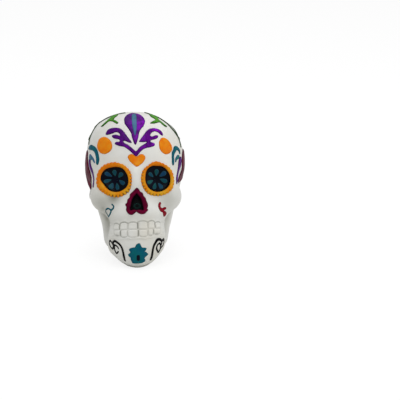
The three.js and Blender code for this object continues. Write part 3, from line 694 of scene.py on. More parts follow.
# The teeth stand along the dental arch. The front gaps are traced, the side teeth follow the arch
teeth = {
    "archY": -0.16,
    "bite": [
        (190, 390), (340, 408), (540, 397), (805, 388), (1000, 390), (1130, 377), (1290, 360),
        (1380, 350),
    ],
    "upperGaps": (190, 345, 552, 805, 1058, 1240, 1380),
    "lowerGaps": (210, 370, 543, 815, 1055, 1192, 1365),
    "sideEdges": (0.6, 0.76),  # turns, as shares of a right angle
    "upperHeights": (3.8, 4.4, 4.5, 5.6, 5.4, 6.3, 5.9, 4.6, 4.4, 3.8),
    "lowerHeights": (3.4, 3.8, 4.2, 5.5, 6.0, 5.6, 4.9, 4.4, 3.8, 3.4),
    "stand": (0.12, 0.2, 0.9, 1.05, 1.0, 1.1, 1.0, 0.9, 0.2, 0.12),  # how far each stands out
    "gap": 0.75,
    "taper": 0.1,  # share of a tooth's width from its middle to its end
    "sideCurve": 4.5,  # the higher, the squarer a tooth is at its sides, ends and corners
    "endCurve": 4,
    "cornerCurve": 4.3,
    "rounded": 0.42,  # share of a tooth that its rounded edge takes, from just outside it
    "outermost": 1.05,
    "biteSoftness": 0.72,
    # The gum over each tooth: how far above the tooth, how much lower at its corners, how far
    # the roll and the painted shade in its crease lie from that arc, and how wide they are
    "gumAt": 1.0,
    "gumArch": 0.9,
    "gumEnds": (1.3, 1.0),  # half widths of the tooth, from where it is gone to where it is whole
    "gumRise": 0.45,
    "gumRoll": (0.4, 0.8),
    "gumCrease": (-0.55, 0.42),
    # painted shade in the gum crease over each tooth, in the gaps between teeth and along the bite
    "gumShade": (0, 0, 0.65, 0.9, 0.6, 0.5, 0.7, 0.7, 0, 0),
    "lowerGumShade": 0.5,  # share of the upper one
    "shading": (0, 0, 0.3, 1, 0.4, 1, 0.3, 0.75, 0.2, 0, 0),  # how dark the painted shade in each gap is
    "gapWidth": 0.55,
    "gapStart": (0, 0.8),  # from the bite
    "gapEnd": (0.6, -1),  # from the teeth's far ends
    "biteShade": 0.2,
    "biteWidth": 0.45,
    "biteEnds": (0.75, 0.6),  # turns in radians, from where a form is gone to where it is whole
    "mouthEnds": (1.25, 1.05),
    "chinEnds": (1.15, 0.85),
    "chinRidge": 0.5,
    "chinAt": (-6.8, 0.8),  # from the bite, and how wide
}
archY = teeth["archY"] * halfDepth


def inRound(p):  # turn and height as seen from the line behind the teeth
    return np.stack([np.arctan2(p[:, 0], -(p[:, 1] - archY)), p[:, 2]], 1)


def gapTurns(name):
    heightOf = np.array(teeth["bite"], float)
    x = np.array(teeth[name], float)
    rows = np.stack([x, np.interp(x, heightOf[:, 0], heightOf[:, 1])], 1)
    front = inRound(fromPicture(traced("mouth", rows)))[:, 0]
    sides = np.array(teeth["sideEdges"]) * math.pi / 2
    return np.concatenate([-sides[::-1], front, sides])


biteLine = inRound(fromPicture(traced("mouth", teeth["bite"])))
upperGaps, lowerGaps = gapTurns("upperGaps"), gapTurns("lowerGaps")


def band(values, middle, width):  # one at the middle, and fading away on both sides of it
    return np.exp(-(((values - middle) / width) ** 2))


def toothRelief(p):  # how far the skin stands out round the mouth, and how dark the painted shade in its creases is
    turn, z = inRound(p).T
    z = z - np.interp(turn, biteLine[:, 0], biteLine[:, 1])
    radius = np.hypot(p[:, 0], p[:, 1] - archY)
    rise, gum, creaseShade = np.zeros(len(p)), np.zeros(len(p)), np.zeros(len(p))
    upper = (upperGaps, teeth["upperHeights"], 1, 1)
    lower = (lowerGaps, teeth["lowerHeights"], -1, teeth["lowerGumShade"])
    for gaps, tall, up, shadeShare in (upper, lower):
        for index, (near, far) in enumerate(zip(gaps, gaps[1:])):
            top, bottom = tall[index], teeth["gap"] / 2
            wide = (far - near) / 2 * radius - teeth["gap"] / 2
            u = (turn - (near + far) / 2) * radius / wide
            v = (z * up - (top + bottom) / 2) / ((top - bottom) / 2)
            narrow = 1 - teeth["taper"] * np.clip(v, -1, 1)
            past = np.where(v < 0, teeth["biteSoftness"], 1) * np.abs(v) ** teeth["endCurve"]
            beyond = np.abs(u / narrow) ** teeth["sideCurve"] + past
            reach = beyond ** (1 / teeth["cornerCurve"])
            t = np.clip((teeth["outermost"] - reach) / teeth["rounded"], 0, 1)
            rise = np.maximum(rise, teeth["stand"][index] * t * (2 - t))
            above = z * up - top - teeth["gumAt"] + teeth["gumArch"] * np.clip(u, -1, 1) ** 2
            beside = smooth(*teeth["gumEnds"], np.abs(u))
            roll = teeth["gumRise"] * band(above, *teeth["gumRoll"])
            gum = np.maximum(gum, roll * beside)
            shading = teeth["gumShade"][index] * shadeShare * band(above, *teeth["gumCrease"])
            creaseShade = np.maximum(creaseShade, shading * beside)
        for turnAt, shading in zip(gaps, teeth["shading"]):
            shading = shading * band((turn - turnAt) * radius, 0, teeth["gapWidth"])
            tallHere = np.interp(turnAt, (gaps[:-1] + gaps[1:]) / 2, tall)
            shading *= smooth(*teeth["gapStart"], z * up) * smooth(*teeth["gapEnd"], z * up - tallHere)
            creaseShade = np.maximum(creaseShade, shading)
    # painted shade along the bite
    between = teeth["biteShade"] * band(z, 0, teeth["biteWidth"])
    creaseShade = np.maximum(creaseShade, between * smooth(*teeth["biteEnds"], np.abs(turn)))
    ridge = teeth["chinRidge"] * band(z, *teeth["chinAt"])
    end = smooth(*teeth["mouthEnds"], np.abs(turn))
    relief = (rise + gum) * end + ridge * smooth(*teeth["chinEnds"], np.abs(turn))
    front = p[:, 1] < 0
    return np.where(front, relief, 0), np.where(front, creaseShade * end, 0)


# How dark the painted shade is: where the form hides the sky, a painted shadow along the foot, and the
# painted spots on the face
def paintedShadeOf(p, n):
    hidden = [np.clip(1 - skinDistance(p + n * reach) / reach, 0, 1) for reach in shadePainting["reaches"]]
    shading = shadePainting["share"] * sum(hidden) / len(hidden)
    shading += shadePainting["footShadowStrength"] * smooth(shadePainting["footShadowHeight"], 0, seat(p)[:, 2])
    spotArea = smooth(shadePainting["frontEnd"], shadePainting["frontFull"], p[:, 1])
    spotArea *= smooth(0, shadePainting["turned"], facing(p))
    pixels = toPicture(p)
    for x, y, radius, strength in shadeSpots:
        shading += strength * np.exp(-(((pixels - (x, y)) / radius) ** 2).sum(1)) * spotArea
    return np.clip(shading, 0, 1)


def workedSkin(p):
    n = skinNormal(p)
    rise, creaseShade = toothRelief(p)
    q = p + n * (rise + skinWaves(p))[:, None]
    for eye in eyes.values():
        radius, angle, depth = inEye(eye, p)
        sunk = smooth(*eyeLook["socketEdge"], radius - eye["inner"](angle))
        sunk = sunk * (depth < eyeLook["front"])
        q = q - eye["outward"] * (sunk * (eyeLook["depth"] - depth))[:, None]
    near = (p[:, 1] < 0) & (np.abs(toPicture(p) - noseMiddle).max(1) < nose["near"])
    inner = np.full(len(p), -float(nose["near"]))
    inner[near] = polygonDepth(toPicture(p[near]), noseOpening)
    q[:, 1] += smooth(*nose["edge"], inner) * nose["depth"]
    return q, creaseShade, paintedShadeOf(p, n)


def skullMesh():
    columns, domeRows, wallRows = skull["columns"], skull["domeRows"], skull["wallRows"]
    middle = seat(np.array([skull["domeMiddle"]]) * half)[0]
    angles = np.arange(columns) * fullTurn / columns
    turns = angles - skull["faceBias"] * np.sin(angles)
    climbs = math.pi / 2 * (1 - np.arange(1, domeRows + 1) / domeRows)
    domeOut = heading(*np.broadcast_arrays(turns[None], climbs[:, None])).reshape(-1, 3)
    shares = 1 - np.arange(1, wallRows + 1) / wallRows
    wallIn = np.repeat(np.stack([0 * shares, middle[1] * shares, middle[2] * shares], 1), columns, 0)
    wallOut = np.tile(heading(turns, 0 * turns), (wallRows, 1))
    inner = np.concatenate([np.tile(middle, (len(domeOut), 1)), wallIn, middle[None]])
    outward = np.concatenate([domeOut, wallOut, [[0, 0, 1.0]]])
    worked, creaseShade, hollowShade = workedSkin(findSkin(unseat(inner), unseatDirection(outward)))
    points = seat(worked)
    points[:, 2] = np.maximum(points[:, 2], 0)
    points[-1 - columns : -1, 2] = 0
    base = points[-1 - columns : -1]
    caps = [base * (1 - row / skull["baseRows"]) for row in range(1, skull["baseRows"])]
    points = np.concatenate([points[:-1], *caps, points[-1:], np.zeros((1, 3))])
    rows = domeRows + wallRows + len(caps)
    top, bottom = rows * columns, rows * columns + 1
    values = {}
    for key, numbers in (("creaseShade", creaseShade), ("hollowShade", hollowShade)):
        values[key] = np.zeros(len(points))
        values[key][: len(numbers) - 1] = numbers[:-1]
        values[key][top] = numbers[-1]
    faces = ringFaces(rows, columns)
    for step in range(columns):
        after, last = (step + 1) % columns, (rows - 1) * columns
        faces += [[top, step, after], [bottom, last + after, last + step]]
    return makePiece("cast_skull", points, faces, values, glazeMaterial, "skull_casting")


castSkull = skullMesh()
print("skull made:", len(castSkull.data.vertices), "points")


# Paint laid on the skull. Each patch is a grid spread over the skin, kept where a depth inside
# the patch's outline is positive, and raised with a rounded edge
domeMiddle = np.array(skull["domeMiddle"]) * half
domeRadius = 46
laying = {
    "margin": 1.5,  # millimetres of grid beyond the outline
    "offSkin": 0.4,  # a point of the grid that found no skin is farther from it than this
    "leastSlope": 0.05,
    "mostMove": 1.7,  # an edge point moves this many cells at most, in as many rounds
    "rounds": 3,
    "tornSide": 8,  # cells: a face as long as this is torn over the head's outline
    "roundness": 0.6,
    "crownWidth": 3,
    "waves": 5,
    "narrowest": 0.6,  # a line looks no narrower than this share of its width
    "turnedAway": 0.03,
    "leastRound": 0.3,  # the least share of the dome's width, near its top
}
# How a motif looks unless its own look says otherwise: the spacing of its grid, how far the paint
# spreads over its outline and how uneven that is, how far its edge lies under the skin, how much
# it crowns in the middle, its tint towards the streak colour from left to right, which on the
# forehead is painted shade that darkens its left side, and how softly its strokes run together.
# A look's height and edge are those of the paint's rounded edge
plainLook = {
    "spacing": 0.3,
    "spreads": 0.25,
    "uneven": 0.1,
    "floor": -0.16,
    "crown": 0,
    "tint": (0, 0),
    "blend": 0.5,
}


def onDome(turnClimb):
    return findSkin(domeMiddle[None], heading(*turnClimb.T))


def inDome(p):
    q = p - domeMiddle
    climb = np.arctan2(q[:, 2], np.hypot(q[:, 0], q[:, 1]))
    return np.stack([np.arctan2(q[:, 0], -q[:, 1]), climb], 1)


def domeUnits(spread):
    return domeRadius * np.array([max(math.cos(spread[:, 1].mean()), laying["leastRound"]), 1])


def pictureUnits(spread):
    return np.array([photo["mmPerPixel"]] * 2)


places = {  # from a patch's own directions to the skin, and millimetres to one unit of each
    "picture": (alongRays, pictureUnits),
    "dome": (onDome, domeUnits),
}


def grow(mask):
    wide = mask.copy()
    for down in (-1, 0, 1):
        for over in (-1, 0, 1):
            wide |= np.roll(np.roll(mask, down, 0), over, 1)
    return wide


def paintPatch(node, place, spread, shape, look):
    toSkin, unitsOf = places[place]
    look = plainLook | look
    units, spacing = unitsOf(spread), look["spacing"]
    low, high = spread.min(0) - laying["margin"] / units, spread.max(0) + laying["margin"] / units
    u, v = (np.arange(a, b, spacing / c) for a, b, c in zip(low, high, units))
    across, down = np.meshgrid(u, v)
    grid = np.stack([across.ravel(), down.ravel()], 1)
    skin = toSkin(grid)
    seed = sum(map(ord, node))

    def depthAt(p):
        depth = shape(p) + look["spreads"] + look["uneven"] * wobble(p, laying["waves"], seed)
        return np.where(np.abs(skinDistance(p)) > laying["offSkin"], -1, depth)

    depth = depthAt(skin)
    slopeV, slopeU = np.gradient(depth.reshape(across.shape), v, u)
    slope = np.stack([slopeU.ravel(), slopeV.ravel()], 1) / units
    steep = np.maximum((slope**2).sum(1), laying["leastSlope"])
    inside = (depth > 0).reshape(across.shape)
    kept = grow(inside)
    edge = (kept & ~inside).ravel()
    start = grid[edge].copy()
    most = laying["mostMove"] * spacing
    for _ in range(laying["rounds"]):  # the outermost points move in to the outline itself
        moved = grid[edge] - (depth[edge] / steep[edge])[:, None] * slope[edge] / units
        moved = start + np.clip((moved - start) * units, -most, most) / units
        grid[edge], skin[edge] = moved, toSkin(moved)
        depth[edge] = depthAt(skin[edge])
    depth = np.maximum(depth, 0)
    depth[edge] = 0
    index = np.arange(len(grid)).reshape(across.shape)
    quads = np.stack([index[:-1, :-1], index[:-1, 1:], index[1:, 1:], index[1:, :-1]], -1)
    quads = quads.reshape(-1, 4)
    quads = quads[kept.ravel()[quads].all(1) & ~edge[quads].all(1)]
    sides = np.linalg.norm(skin[quads] - skin[np.roll(quads, 1, 1)], axis=2)
    quads = quads[(sides < laying["tornSide"] * spacing).all(1)]
    used, faces = np.unique(quads, return_inverse=True)
    faces, skin, depth = faces.reshape(-1, 4), skin[used], depth[used]
    t = np.clip(depth / look["edge"], 0, 1)
    rise = look["height"] * (1 - (1 - t) ** 2) ** laying["roundness"]
    rise += look["crown"] * (1 - np.exp(-depth / laying["crownWidth"]))
    out = skinNormal(skin)
    lift = look["floor"] + skinWaves(skin) + rise
    points = seat(skin + out * lift[:, None])
    a, b, c = (points[faces[:, i]] for i in (0, 1, 2))
    if (np.cross(b - a, c - b) * (seat(skin + out) - seat(skin))[faces[:, 0]]).sum() < 0:
        faces = faces[:, ::-1]
    across = (skin[:, 0] - skin[:, 0].min()) / np.ptp(skin[:, 0])
    left, right = look["tint"]
    values = {"fromEdge": depth, "tint": left + (right - left) * across}
    makePiece(node, points, faces.tolist(), values, paintMaterials[slots[node]], node)


def strokeWidths(spine, line):  # wider where the skin turns sideways and the picture narrows it
    sideways = skinNormal(spine) @ unseatDirection(cameraRight[None])[0]
    narrowed = np.maximum(np.sqrt(1 - sideways**2), laying["narrowest"])
    return line[:, 2] * photo["mmPerPixel"] / narrowed


def tracedPatch(node, sheet, look, outlines=(), strokes=()):
    blend = look.get("blend", plainLook["blend"])
    curves = [outlineOf(sheet, outline) for outline in outlines]
    lines = [catmull(traced(sheet, stroke), pieces=5) for stroke in strokes]
    spines = [fromPicture(line[:, :2]) for line in lines]
    widths = [strokeWidths(spine, line) for spine, line in zip(spines, lines)]

    def shape(p):
        pixels = toPicture(p)
        depths = [polygonDepth(pixels, curve) * photo["mmPerPixel"] for curve in curves]
        depths += [strokeDepth(p, spine, width) for spine, width in zip(spines, widths)]
        depth = depths[0]
        for other in depths[1:]:
            depth = -softMin(-depth, -other, blend)
        return np.where(facing(p) > laying["turnedAway"], depth, -1)

    sides = [line[:, :2] + way * line[:, 2:] / 2 for line in lines for way in (-1, 1)]
    paintPatch(node, "picture", np.concatenate(curves + sides), shape, look)


# Forehead: plume, scroll, heart and dots are outlines, and the plume's stripe is a stroke
dropLook = {"height": 0.85, "edge": 1.5, "crown": 0.3, "uneven": 0.14}
forehead = {
    # its tint is painted shade: the purple darker on the left, lighter on the right where the light falls
    "look": {"height": 0.85, "edge": 1.0, "crown": 0.2, "tint": (0.9, 0)},
    "plume": [
        (745, 108), (850, 135), (930, 195), (965, 280), (940, 365), (870, 450), (838, 540),
        (825, 620), (800, 700), (770, 757), (735, 690), (705, 610), (685, 520), (630, 430),
        (565, 340), (540, 260), (560, 190), (620, 135), (680, 112),
    ],
    "stripe": [
        (743, 158, 70), (744, 210, 90), (748, 300, 88), (754, 400, 74), (760, 480, 50),
        (765, 560, 16),
    ],
    "stripeLook": {"height": 0.3, "edge": 0.6, "floor": 0.8, "uneven": 0.06},
    "scroll": [
        (165, 548), (180, 490), (225, 440), (300, 415), (390, 412), (455, 428), (510, 470),
        (560, 530), (615, 605), (660, 665), (690, 715), (640, 708), (590, 688), (545, 672),
        (520, 692), (545, 725), (620, 763), (690, 818), (745, 870), (785, 895), (840, 835),
        (900, 785), (960, 745), (1005, 716), (985, 697), (920, 702), (850, 692), (895, 625),
        (950, 550), (1000, 482), (1060, 437), (1130, 420), (1200, 426), (1270, 456), (1320, 506),
        (1337, 562), (1290, 546), (1240, 502), (1180, 482), (1120, 496), (1085, 530), (1076, 575),
        (1120, 590), (1180, 568), (1232, 572), (1232, 602), (1190, 636), (1120, 652), (1082, 672),
        (1085, 702), (1125, 715), (1170, 738), (1158, 776), (1100, 800), (1030, 815), (960, 834),
        (900, 876), (850, 926), (790, 994), (735, 956), (670, 890), (600, 836), (530, 797),
        (450, 783), (370, 758), (352, 725), (385, 702), (440, 700), (455, 672), (430, 645),
        (345, 632), (300, 600), (290, 572), (330, 556), (400, 560), (450, 578), (455, 545),
        (420, 505), (365, 495), (300, 525), (230, 545),
    ],
    "leftDot": [
        (-15, 775), (10, 680), (60, 620), (125, 597), (200, 625), (260, 690), (290, 770),
        (275, 850), (220, 915), (140, 950), (60, 930), (5, 860),
    ],
    "rightDot": [
        (1262, 770), (1265, 690), (1300, 630), (1360, 612), (1430, 650), (1490, 720), (1525, 800),
        (1520, 870), (1470, 930), (1400, 952), (1330, 920), (1285, 850),
    ],
    "heart": [
        (537, 491), (560, 475), (585, 470), (610, 487), (612, 512), (598, 540), (570, 565),
        (537, 583), (505, 562), (477, 535), (461, 508), (463, 485), (487, 470), (515, 478),
    ],
    "dotLook": dropLook,
    "heartLook": dropLook | {"spreads": 0},
}
tracedPatch("forehead_plume", "forehead", forehead["look"], [forehead["plume"]])
tracedPatch("plume_stripe", "forehead", forehead["stripeLook"], strokes=[forehead["stripe"]])
tracedPatch("forehead_scroll", "forehead", forehead["look"], [forehead["scroll"]])
tracedPatch("forehead_heart", "whole", forehead["heartLook"], [forehead["heart"]])
tracedPatch("left_dot", "forehead", forehead["dotLook"], [forehead["leftDot"]])
tracedPatch("right_dot", "forehead", forehead["dotLook"], [forehead["rightDot"]])
print("forehead painted")

# Temples: hook, leaflet and stripe are traced. The leaf runs on round the side, out of sight, and
# its outline is in right angles round the dome and up it
smallLook = {"height": 0.75, "edge": 0.8, "uneven": 0.08, "spacing": 0.25}
temple = {
    "hookLook": smallLook,
    "left": {
        "sheet": "leftTemple",
        "leafletLook": smallLook | {"tint": (0.2, 0.2)},
        "hook": [
            (205, 285), (215, 220), (250, 165), (290, 150), (350, 180), (420, 240), (460, 310),
            (490, 400), (510, 520), (515, 620), (497, 700), (465, 745), (435, 715), (430, 640),
            (425, 540), (405, 430), (370, 350), (310, 305), (240, 290),
        ],
        "leaflet": [
            (222, 500), (250, 430), (300, 490), (350, 560), (375, 620), (385, 690), (350, 655),
            (320, 605), (270, 592), (228, 600),
        ],
        "stripe": [
            (238, 625, 56), (242, 720, 54), (262, 820, 54), (300, 920, 54), (340, 1050, 50),
            (360, 1180, 54), (352, 1300, 44), (345, 1400, 26),
        ],
        "leaf": [
            (0.93, 0.215), (0.83, 0.19), (0.79, 0.12), (0.755, 0.05), (0.72, -0.03), (0.72, -0.09),
            (0.765, -0.15), (0.87, -0.2), (0.97, -0.24), (1.04, -0.295), (1.1, -0.25),
            (1.15, -0.16), (1.17, -0.05), (1.16, 0.06), (1.08, 0.16),
        ],
    },
    "right": {
        "sheet": "rightTemple",
        "leafletLook": smallLook | {"tint": (0.9, 0.9)},
        "hook": [
            (318, 798), (292, 740), (290, 620), (285, 500), (292, 420), (330, 330), (345, 270),
            (385, 232), (440, 250), (490, 300), (520, 380), (525, 460), (505, 455), (490, 400),
            (450, 360), (415, 352), (390, 400), (360, 450), (345, 530), (345, 640), (345, 740),
        ],
        "leaflet": [
            (382, 702), (380, 620), (410, 550), (450, 500), (488, 500), (495, 560), (470, 600),
            (430, 630), (400, 690),
        ],
        "stripe": [
            (530, 590, 52), (520, 680, 78), (508, 780, 74), (488, 870, 62), (463, 970, 56),
            (446, 1070, 50), (433, 1180, 42), (425, 1320, 24),
        ],
        "leaf": [
            (0.93, 0.205), (0.82, 0.18), (0.755, 0.12), (0.725, 0.06), (0.735, 0.01), (0.76, -0.04),
            (0.775, -0.09), (0.79, -0.14), (0.8, -0.19), (0.81, -0.25), (0.92, -0.255),
            (1.03, -0.21), (1.12, -0.12), (1.15, 0.01), (1.08, 0.14),
        ],
    },
    "stripeLook": {
        "height": 0.7, "edge": 0.8, "uneven": 0.06, "tint": (0.6, 0.6), "spreads": 0.1, "spacing": 0.25,
    },
    "stripeNarrowest": 0.36,
    "leafLook": {"height": 0.85, "edge": 1.4, "uneven": 0.12},
}


def calm(line, times=4):  # evens out a line on the skin, and leaves its ends
    for _ in range(times):
        line = np.concatenate([line[:1], (line[:-2] + 2 * line[1:-1] + line[2:]) / 4, line[-1:]])
    return line


def alongSkin(node, lines, widths, look):  # strokes given as points on the skin
    def shape(p):
        depth = strokeDepth(p, lines[0], widths[0])
        for line, width in zip(lines[1:], widths[1:]):
            depth = -softMin(-depth, -strokeDepth(p, line, width), plainLook["blend"])
        return depth

    paintPatch(node, "dome", inDome(np.concatenate(lines)), shape, look)


def domePatch(node, outline, look):  # an outline whose depth is taken round the dome
    units = domeUnits(outline)

    def shape(p):
        return polygonDepth(inDome(p) * units, outline * units)

    paintPatch(node, "dome", outline, shape, look)


def templeLeaf(name, side, look):  # it runs on round the side, out of the picture
    angles = np.array(look["leaf"]) * [side * math.pi / 2, math.pi / 2]
    outline = catmull(angles, pieces=6, closed=True)
    domePatch(f"{name}_temple_leaf", outline, temple["leafLook"])


def templeStripe(name, look):
    rows = catmull(traced(look["sheet"], look["stripe"]), pieces=3)
    line = fromPicture(rows[:, :2])
    narrowed = np.maximum(facing(line), temple["stripeNarrowest"])
    widths = rows[:, 2] * photo["mmPerPixel"] / narrowed
    alongSkin(f"{name}_temple_stripe", [onDome(calm(inDome(line)))], [widths], temple["stripeLook"])


for name, side in bothSides.items():
    look = temple[name]
    sheet = look["sheet"]
    tracedPatch(f"{name}_temple_hook", sheet, temple["hookLook"], [look["hook"]])
    tracedPatch(f"{name}_temple_leaflet", sheet, look["leafletLook"], [look["leaflet"]])
    templeStripe(name, look)
    templeLeaf(name, side, look)

# Crown: the branches are traced, the vines run over the top just where the head turns away. The
# twigs behind them are in right angles round the dome and up it
crown = {
    "look": {"height": 0.7, "edge": 0.8, "uneven": 0.1},
    "left": [
        (415, 122), (350, 120), (298, 150), (262, 200), (212, 240), (140, 308), (68, 382),
        (102, 378), (180, 312), (235, 272), (290, 274), (345, 302), (395, 326), (412, 300),
        (370, 262), (325, 240), (345, 200), (390, 165),
    ],
    "right": [
        (1055, 128), (1105, 138), (1160, 165), (1215, 205), (1262, 250), (1312, 290), (1372, 340),
        (1418, 380), (1400, 392), (1340, 352), (1270, 294), (1210, 308), (1140, 320), (1078, 320),
        (1088, 298), (1140, 268), (1190, 248), (1150, 215), (1090, 178),
    ],
    "leftVine": [
        (555, 72, 20), (470, 76, 24), (410, 98, 26), (320, 130, 28), (220, 175, 30), (130, 225, 30),
        (60, 275, 30), (0, 335, 30), (-50, 400, 30), (-105, 485, 30), (-140, 560, 28),
        (-172, 650, 28), (-184, 745, 18),
    ],
    "rightVine": [
        (965, 102, 20), (1020, 112, 26), (1090, 150, 28), (1180, 185, 28), (1260, 220, 28),
        (1340, 270, 28), (1420, 340, 34), (1490, 400, 44), (1568, 490, 40), (1617, 557, 30),
        (1663, 629, 28), (1692, 732, 26), (1710, 805, 16),
    ],
    "twigs": [
        [(1.04, 0.36), (1.16, 0.43), (1.32, 0.42)],
        [(1.04, 0.52), (1.2, 0.62), (1.42, 0.6)],
    ],
    "twigWidth": 1.8,
    "twigTip": 0.3,
    "twigSwell": (0.7, 2.7),  # the part of a sine wave that its width follows
    "vineCalm": 12,
    "vineLook": {"height": 0.8, "edge": 0.7, "uneven": 0.06, "tint": (0.85, 0.85), "spreads": 0.35},
}


def crownVine(name, side):
    rows = catmull(traced("forehead", crown[name + "Vine"]), pieces=4)
    lines = [onDome(calm(inDome(fromPicture(rows[:, :2])), crown["vineCalm"]))]
    widths = [rows[:, 2] * photo["mmPerPixel"]]
    vine = inDome(lines[0])
    for twig in crown["twigs"]:
        points = np.array(twig) * [side * math.pi / 2, math.pi / 2]
        start = vine[np.hypot(*(vine - points[0]).T).argmin()]
        lines.append(onDome(catmull([start, *points], pieces=6)))
        swell = np.sin(np.linspace(*crown["twigSwell"], len(lines[-1])))
        widths.append(crown["twigWidth"] * swell + crown["twigTip"])
    alongSkin(f"{name}_crown_vine", lines, widths, crown["vineLook"])


for name, side in bothSides.items():
    outline = inDome(fromPicture(outlineOf("forehead", crown[name])))
    domePatch(f"{name}_crown_branch", outline, crown["look"])
    crownVine(name, side)
print("temples and crown painted")

# Cheeks, jaw and chin: brush lines and one flower
lineLook = {"height": 0.5, "edge": 0.6, "uneven": 0.06, "spacing": 0.22, "blend": 0.3}
cheek = {
    "look": lineLook | {"spreads": 0.08},
    "left": [
        [(225, 188, 32), (262, 232, 32), (245, 285, 32), (200, 322, 34)],
        [(92, 302, 28), (140, 280, 34), (200, 322, 34), (190, 380, 28), (165, 430, 22), (146, 462, 18)],
        [(92, 302, 18), (82, 335, 16), (95, 372, 18), (125, 420, 20), (148, 472, 16)],
    ],
    "right": [
        [(1300, 165, 52), (1287, 205, 54), (1296, 262, 56), (1330, 315, 54), (1372, 338, 44)],
        [(1340, 300, 34), (1390, 283, 50), (1418, 278, 46)],
        [(1372, 338, 34), (1404, 400, 68), (1410, 410, 70)],
    ],
}
jaw = {
    "look": lineLook | {"spreads": 0.14},
    "left": [
        [
            (498, 628, 50), (472, 520, 54), (450, 405, 46), (420, 318, 44), (370, 245, 44),
            (312, 198, 42), (258, 168, 40), (218, 192, 38), (212, 235, 42),
        ],
        [
            (212, 235, 40), (245, 290, 32), (252, 360, 28), (275, 425, 30), (303, 462, 30),
            (340, 418, 26),
        ],
        [(225, 262, 34), (282, 272, 30), (328, 312, 26), (345, 345, 24)],
        [
            (212, 240, 30), (185, 205, 22), (145, 158, 28), (125, 200, 30), (140, 265, 30),
            (170, 318, 28), (203, 350, 30), (225, 300, 30), (222, 262, 30),
        ],
    ],
    "right": [
        [
            (1115, 602, 56), (1140, 520, 54), (1155, 420, 48), (1175, 315, 48), (1215, 225, 52),
            (1268, 140, 52), (1330, 128, 40), (1372, 165, 36),
        ],
        [
            (1322, 215, 26), (1272, 262, 30), (1250, 340, 32), (1272, 400, 30), (1296, 430, 30),
            (1322, 388, 28), (1342, 325, 30), (1347, 262, 28), (1322, 215, 26),
        ],
        [
            (1372, 165, 32), (1420, 128, 40), (1420, 190, 28), (1405, 255, 26), (1372, 308, 28),
            (1347, 330, 26),
        ],
        [(1372, 165, 30), (1372, 220, 28), (1350, 270, 26)],
    ],
}
flower = {
    "look": {"height": 0.85, "edge": 0.9, "uneven": 0.06, "crown": 0.15},
    "outline": [
        (845, 225), (880, 290), (905, 325), (960, 328), (1003, 338), (1005, 358), (985, 390),
        (962, 420), (1000, 432), (1045, 475), (1020, 508), (985, 540), (960, 578), (977, 620),
        (960, 652), (880, 685), (800, 692), (690, 687), (660, 642), (640, 600), (635, 560),
        (600, 530), (578, 485), (625, 450), (625, 412), (600, 380), (620, 347), (690, 326),
        (740, 320), (765, 265), (800, 235),
    ],
    "seed": [
        (782, 510), (812, 495), (845, 510), (849, 560), (845, 610), (815, 624), (782, 610),
        (776, 560),
    ],
    "seedLook": {"height": 0.3, "edge": 0.5, "floor": 0.8, "uneven": 0.04, "spacing": 0.2, "spreads": 0},
}
for name in bothSides:
    tracedPatch(f"{name}_cheek_curl", "cheeks", cheek["look"], strokes=cheek[name])
    tracedPatch(f"{name}_jaw_scroll", "chin", jaw["look"], strokes=jaw[name])
tracedPatch("chin_flower", "chin", flower["look"], [flower["outline"]])
tracedPatch("chin_seed", "chin", flower["seedLook"], [flower["seed"]])
print("cheeks, jaw and chin painted")


# Nose: a lobed rim of thick paint, and the dark lining with its faint ring
def noseRim():
    def shape(p):
        pixels = toPicture(p)
        depth = np.minimum(polygonDepth(pixels, noseRimOutline), -polygonDepth(pixels, noseOpening))
        return np.where(p[:, 1] < 0, depth, -1) * photo["mmPerPixel"]

    paintPatch("nose_rim", "picture", noseRimOutline, shape, nose["rimLook"])


def noseLining():
    step = sheets["middle"][2]
    ringAt = traced("middle", [nose["ringAt"]])[0]
    rings, marks, tints = [], [], []
    deepest = nose["depth"] - nose["overFloor"]
    for share in (*nose["wallShares"], *np.linspace(*nose["floorShares"])):
        pixels = noseMiddle + (noseOpening - noseMiddle) * share
        down = nose["underSkin"] + smooth(*nose["goesDown"], share) * deepest
        rings.append(seat(fromPicture(pixels) + np.array([[0, 1.0, 0]]) * down))
        marks.append(np.full(len(pixels), nose["middleAt"] * (1 - share)))
        around = np.hypot(*((pixels - ringAt) * step / nose["ringSize"]).T)
        tints.append(band(around, 1, nose["ringWidth"]))
    values = {"fromEdge": np.concatenate(marks), "tint": np.concatenate(tints)}
    faces = ringFaces(len(rings), len(noseOpening))
    material = paintMaterials["black_paint"]
    makePiece("nose_lining", np.concatenate(rings), faces, values, material, "nose_lining")


noseRim()
noseLining()

# Eyes: scalloped ring of thick paint, dark dished cup and seven petals, each petal traced from
# its tip near the middle to its far end, with its width
ring = {
    "across": 18,  # points from the inner edge to the outer one
    "perScallop": 16,  # and round each scallop
    "height": 1.7,
    "floor": -0.3,
    "inside": 0.1,  # how far the inner edge stands inside the opening
    "round": 0.45,  # the lower, the fuller its section
    "scallops": 30,
    "scallopDepth": 0.6,
    "grooveDepth": 0.6,  # of the ring's height
    "grooveFrom": (0.35, 0.9),  # shares of the way across
    "lobeRound": 0.8,
    "sway": (0.25, 3),  # moves the scallops along the ring, in this many waves
    "unlike": (0.7, 0.3, 0.9),  # how deep the grooves are, how much that differs, how often
    "mark": 1.2,  # millimetres from the edge that a scallop's back counts as, for the darker rim
    "grooveMark": 0.7,  # the lower, the sooner a groove darkens
    "grooveShades": (0.65, 0.6, 0.25),  # painted shade in the grooves: mean, swing and least
    "orange": 0.8,
}
cup = {
    "steps": 120,
    "lip": [(0.6, -0.05), (0.1, 0.02), (-0.3, 0.25), (-0.45, 0.7)],  # beyond the edge, share down
    "lipFoot": 0.3,
    "shares": (0.94, 0.9, 0.85, 0.78, 0.7, 0.6, 0.5, 0.4, 0.3, 0.2, 0.1, 0.01),
    "middleAt": 3,  # millimetres from the edge that its middle counts as, for the darker rim
}
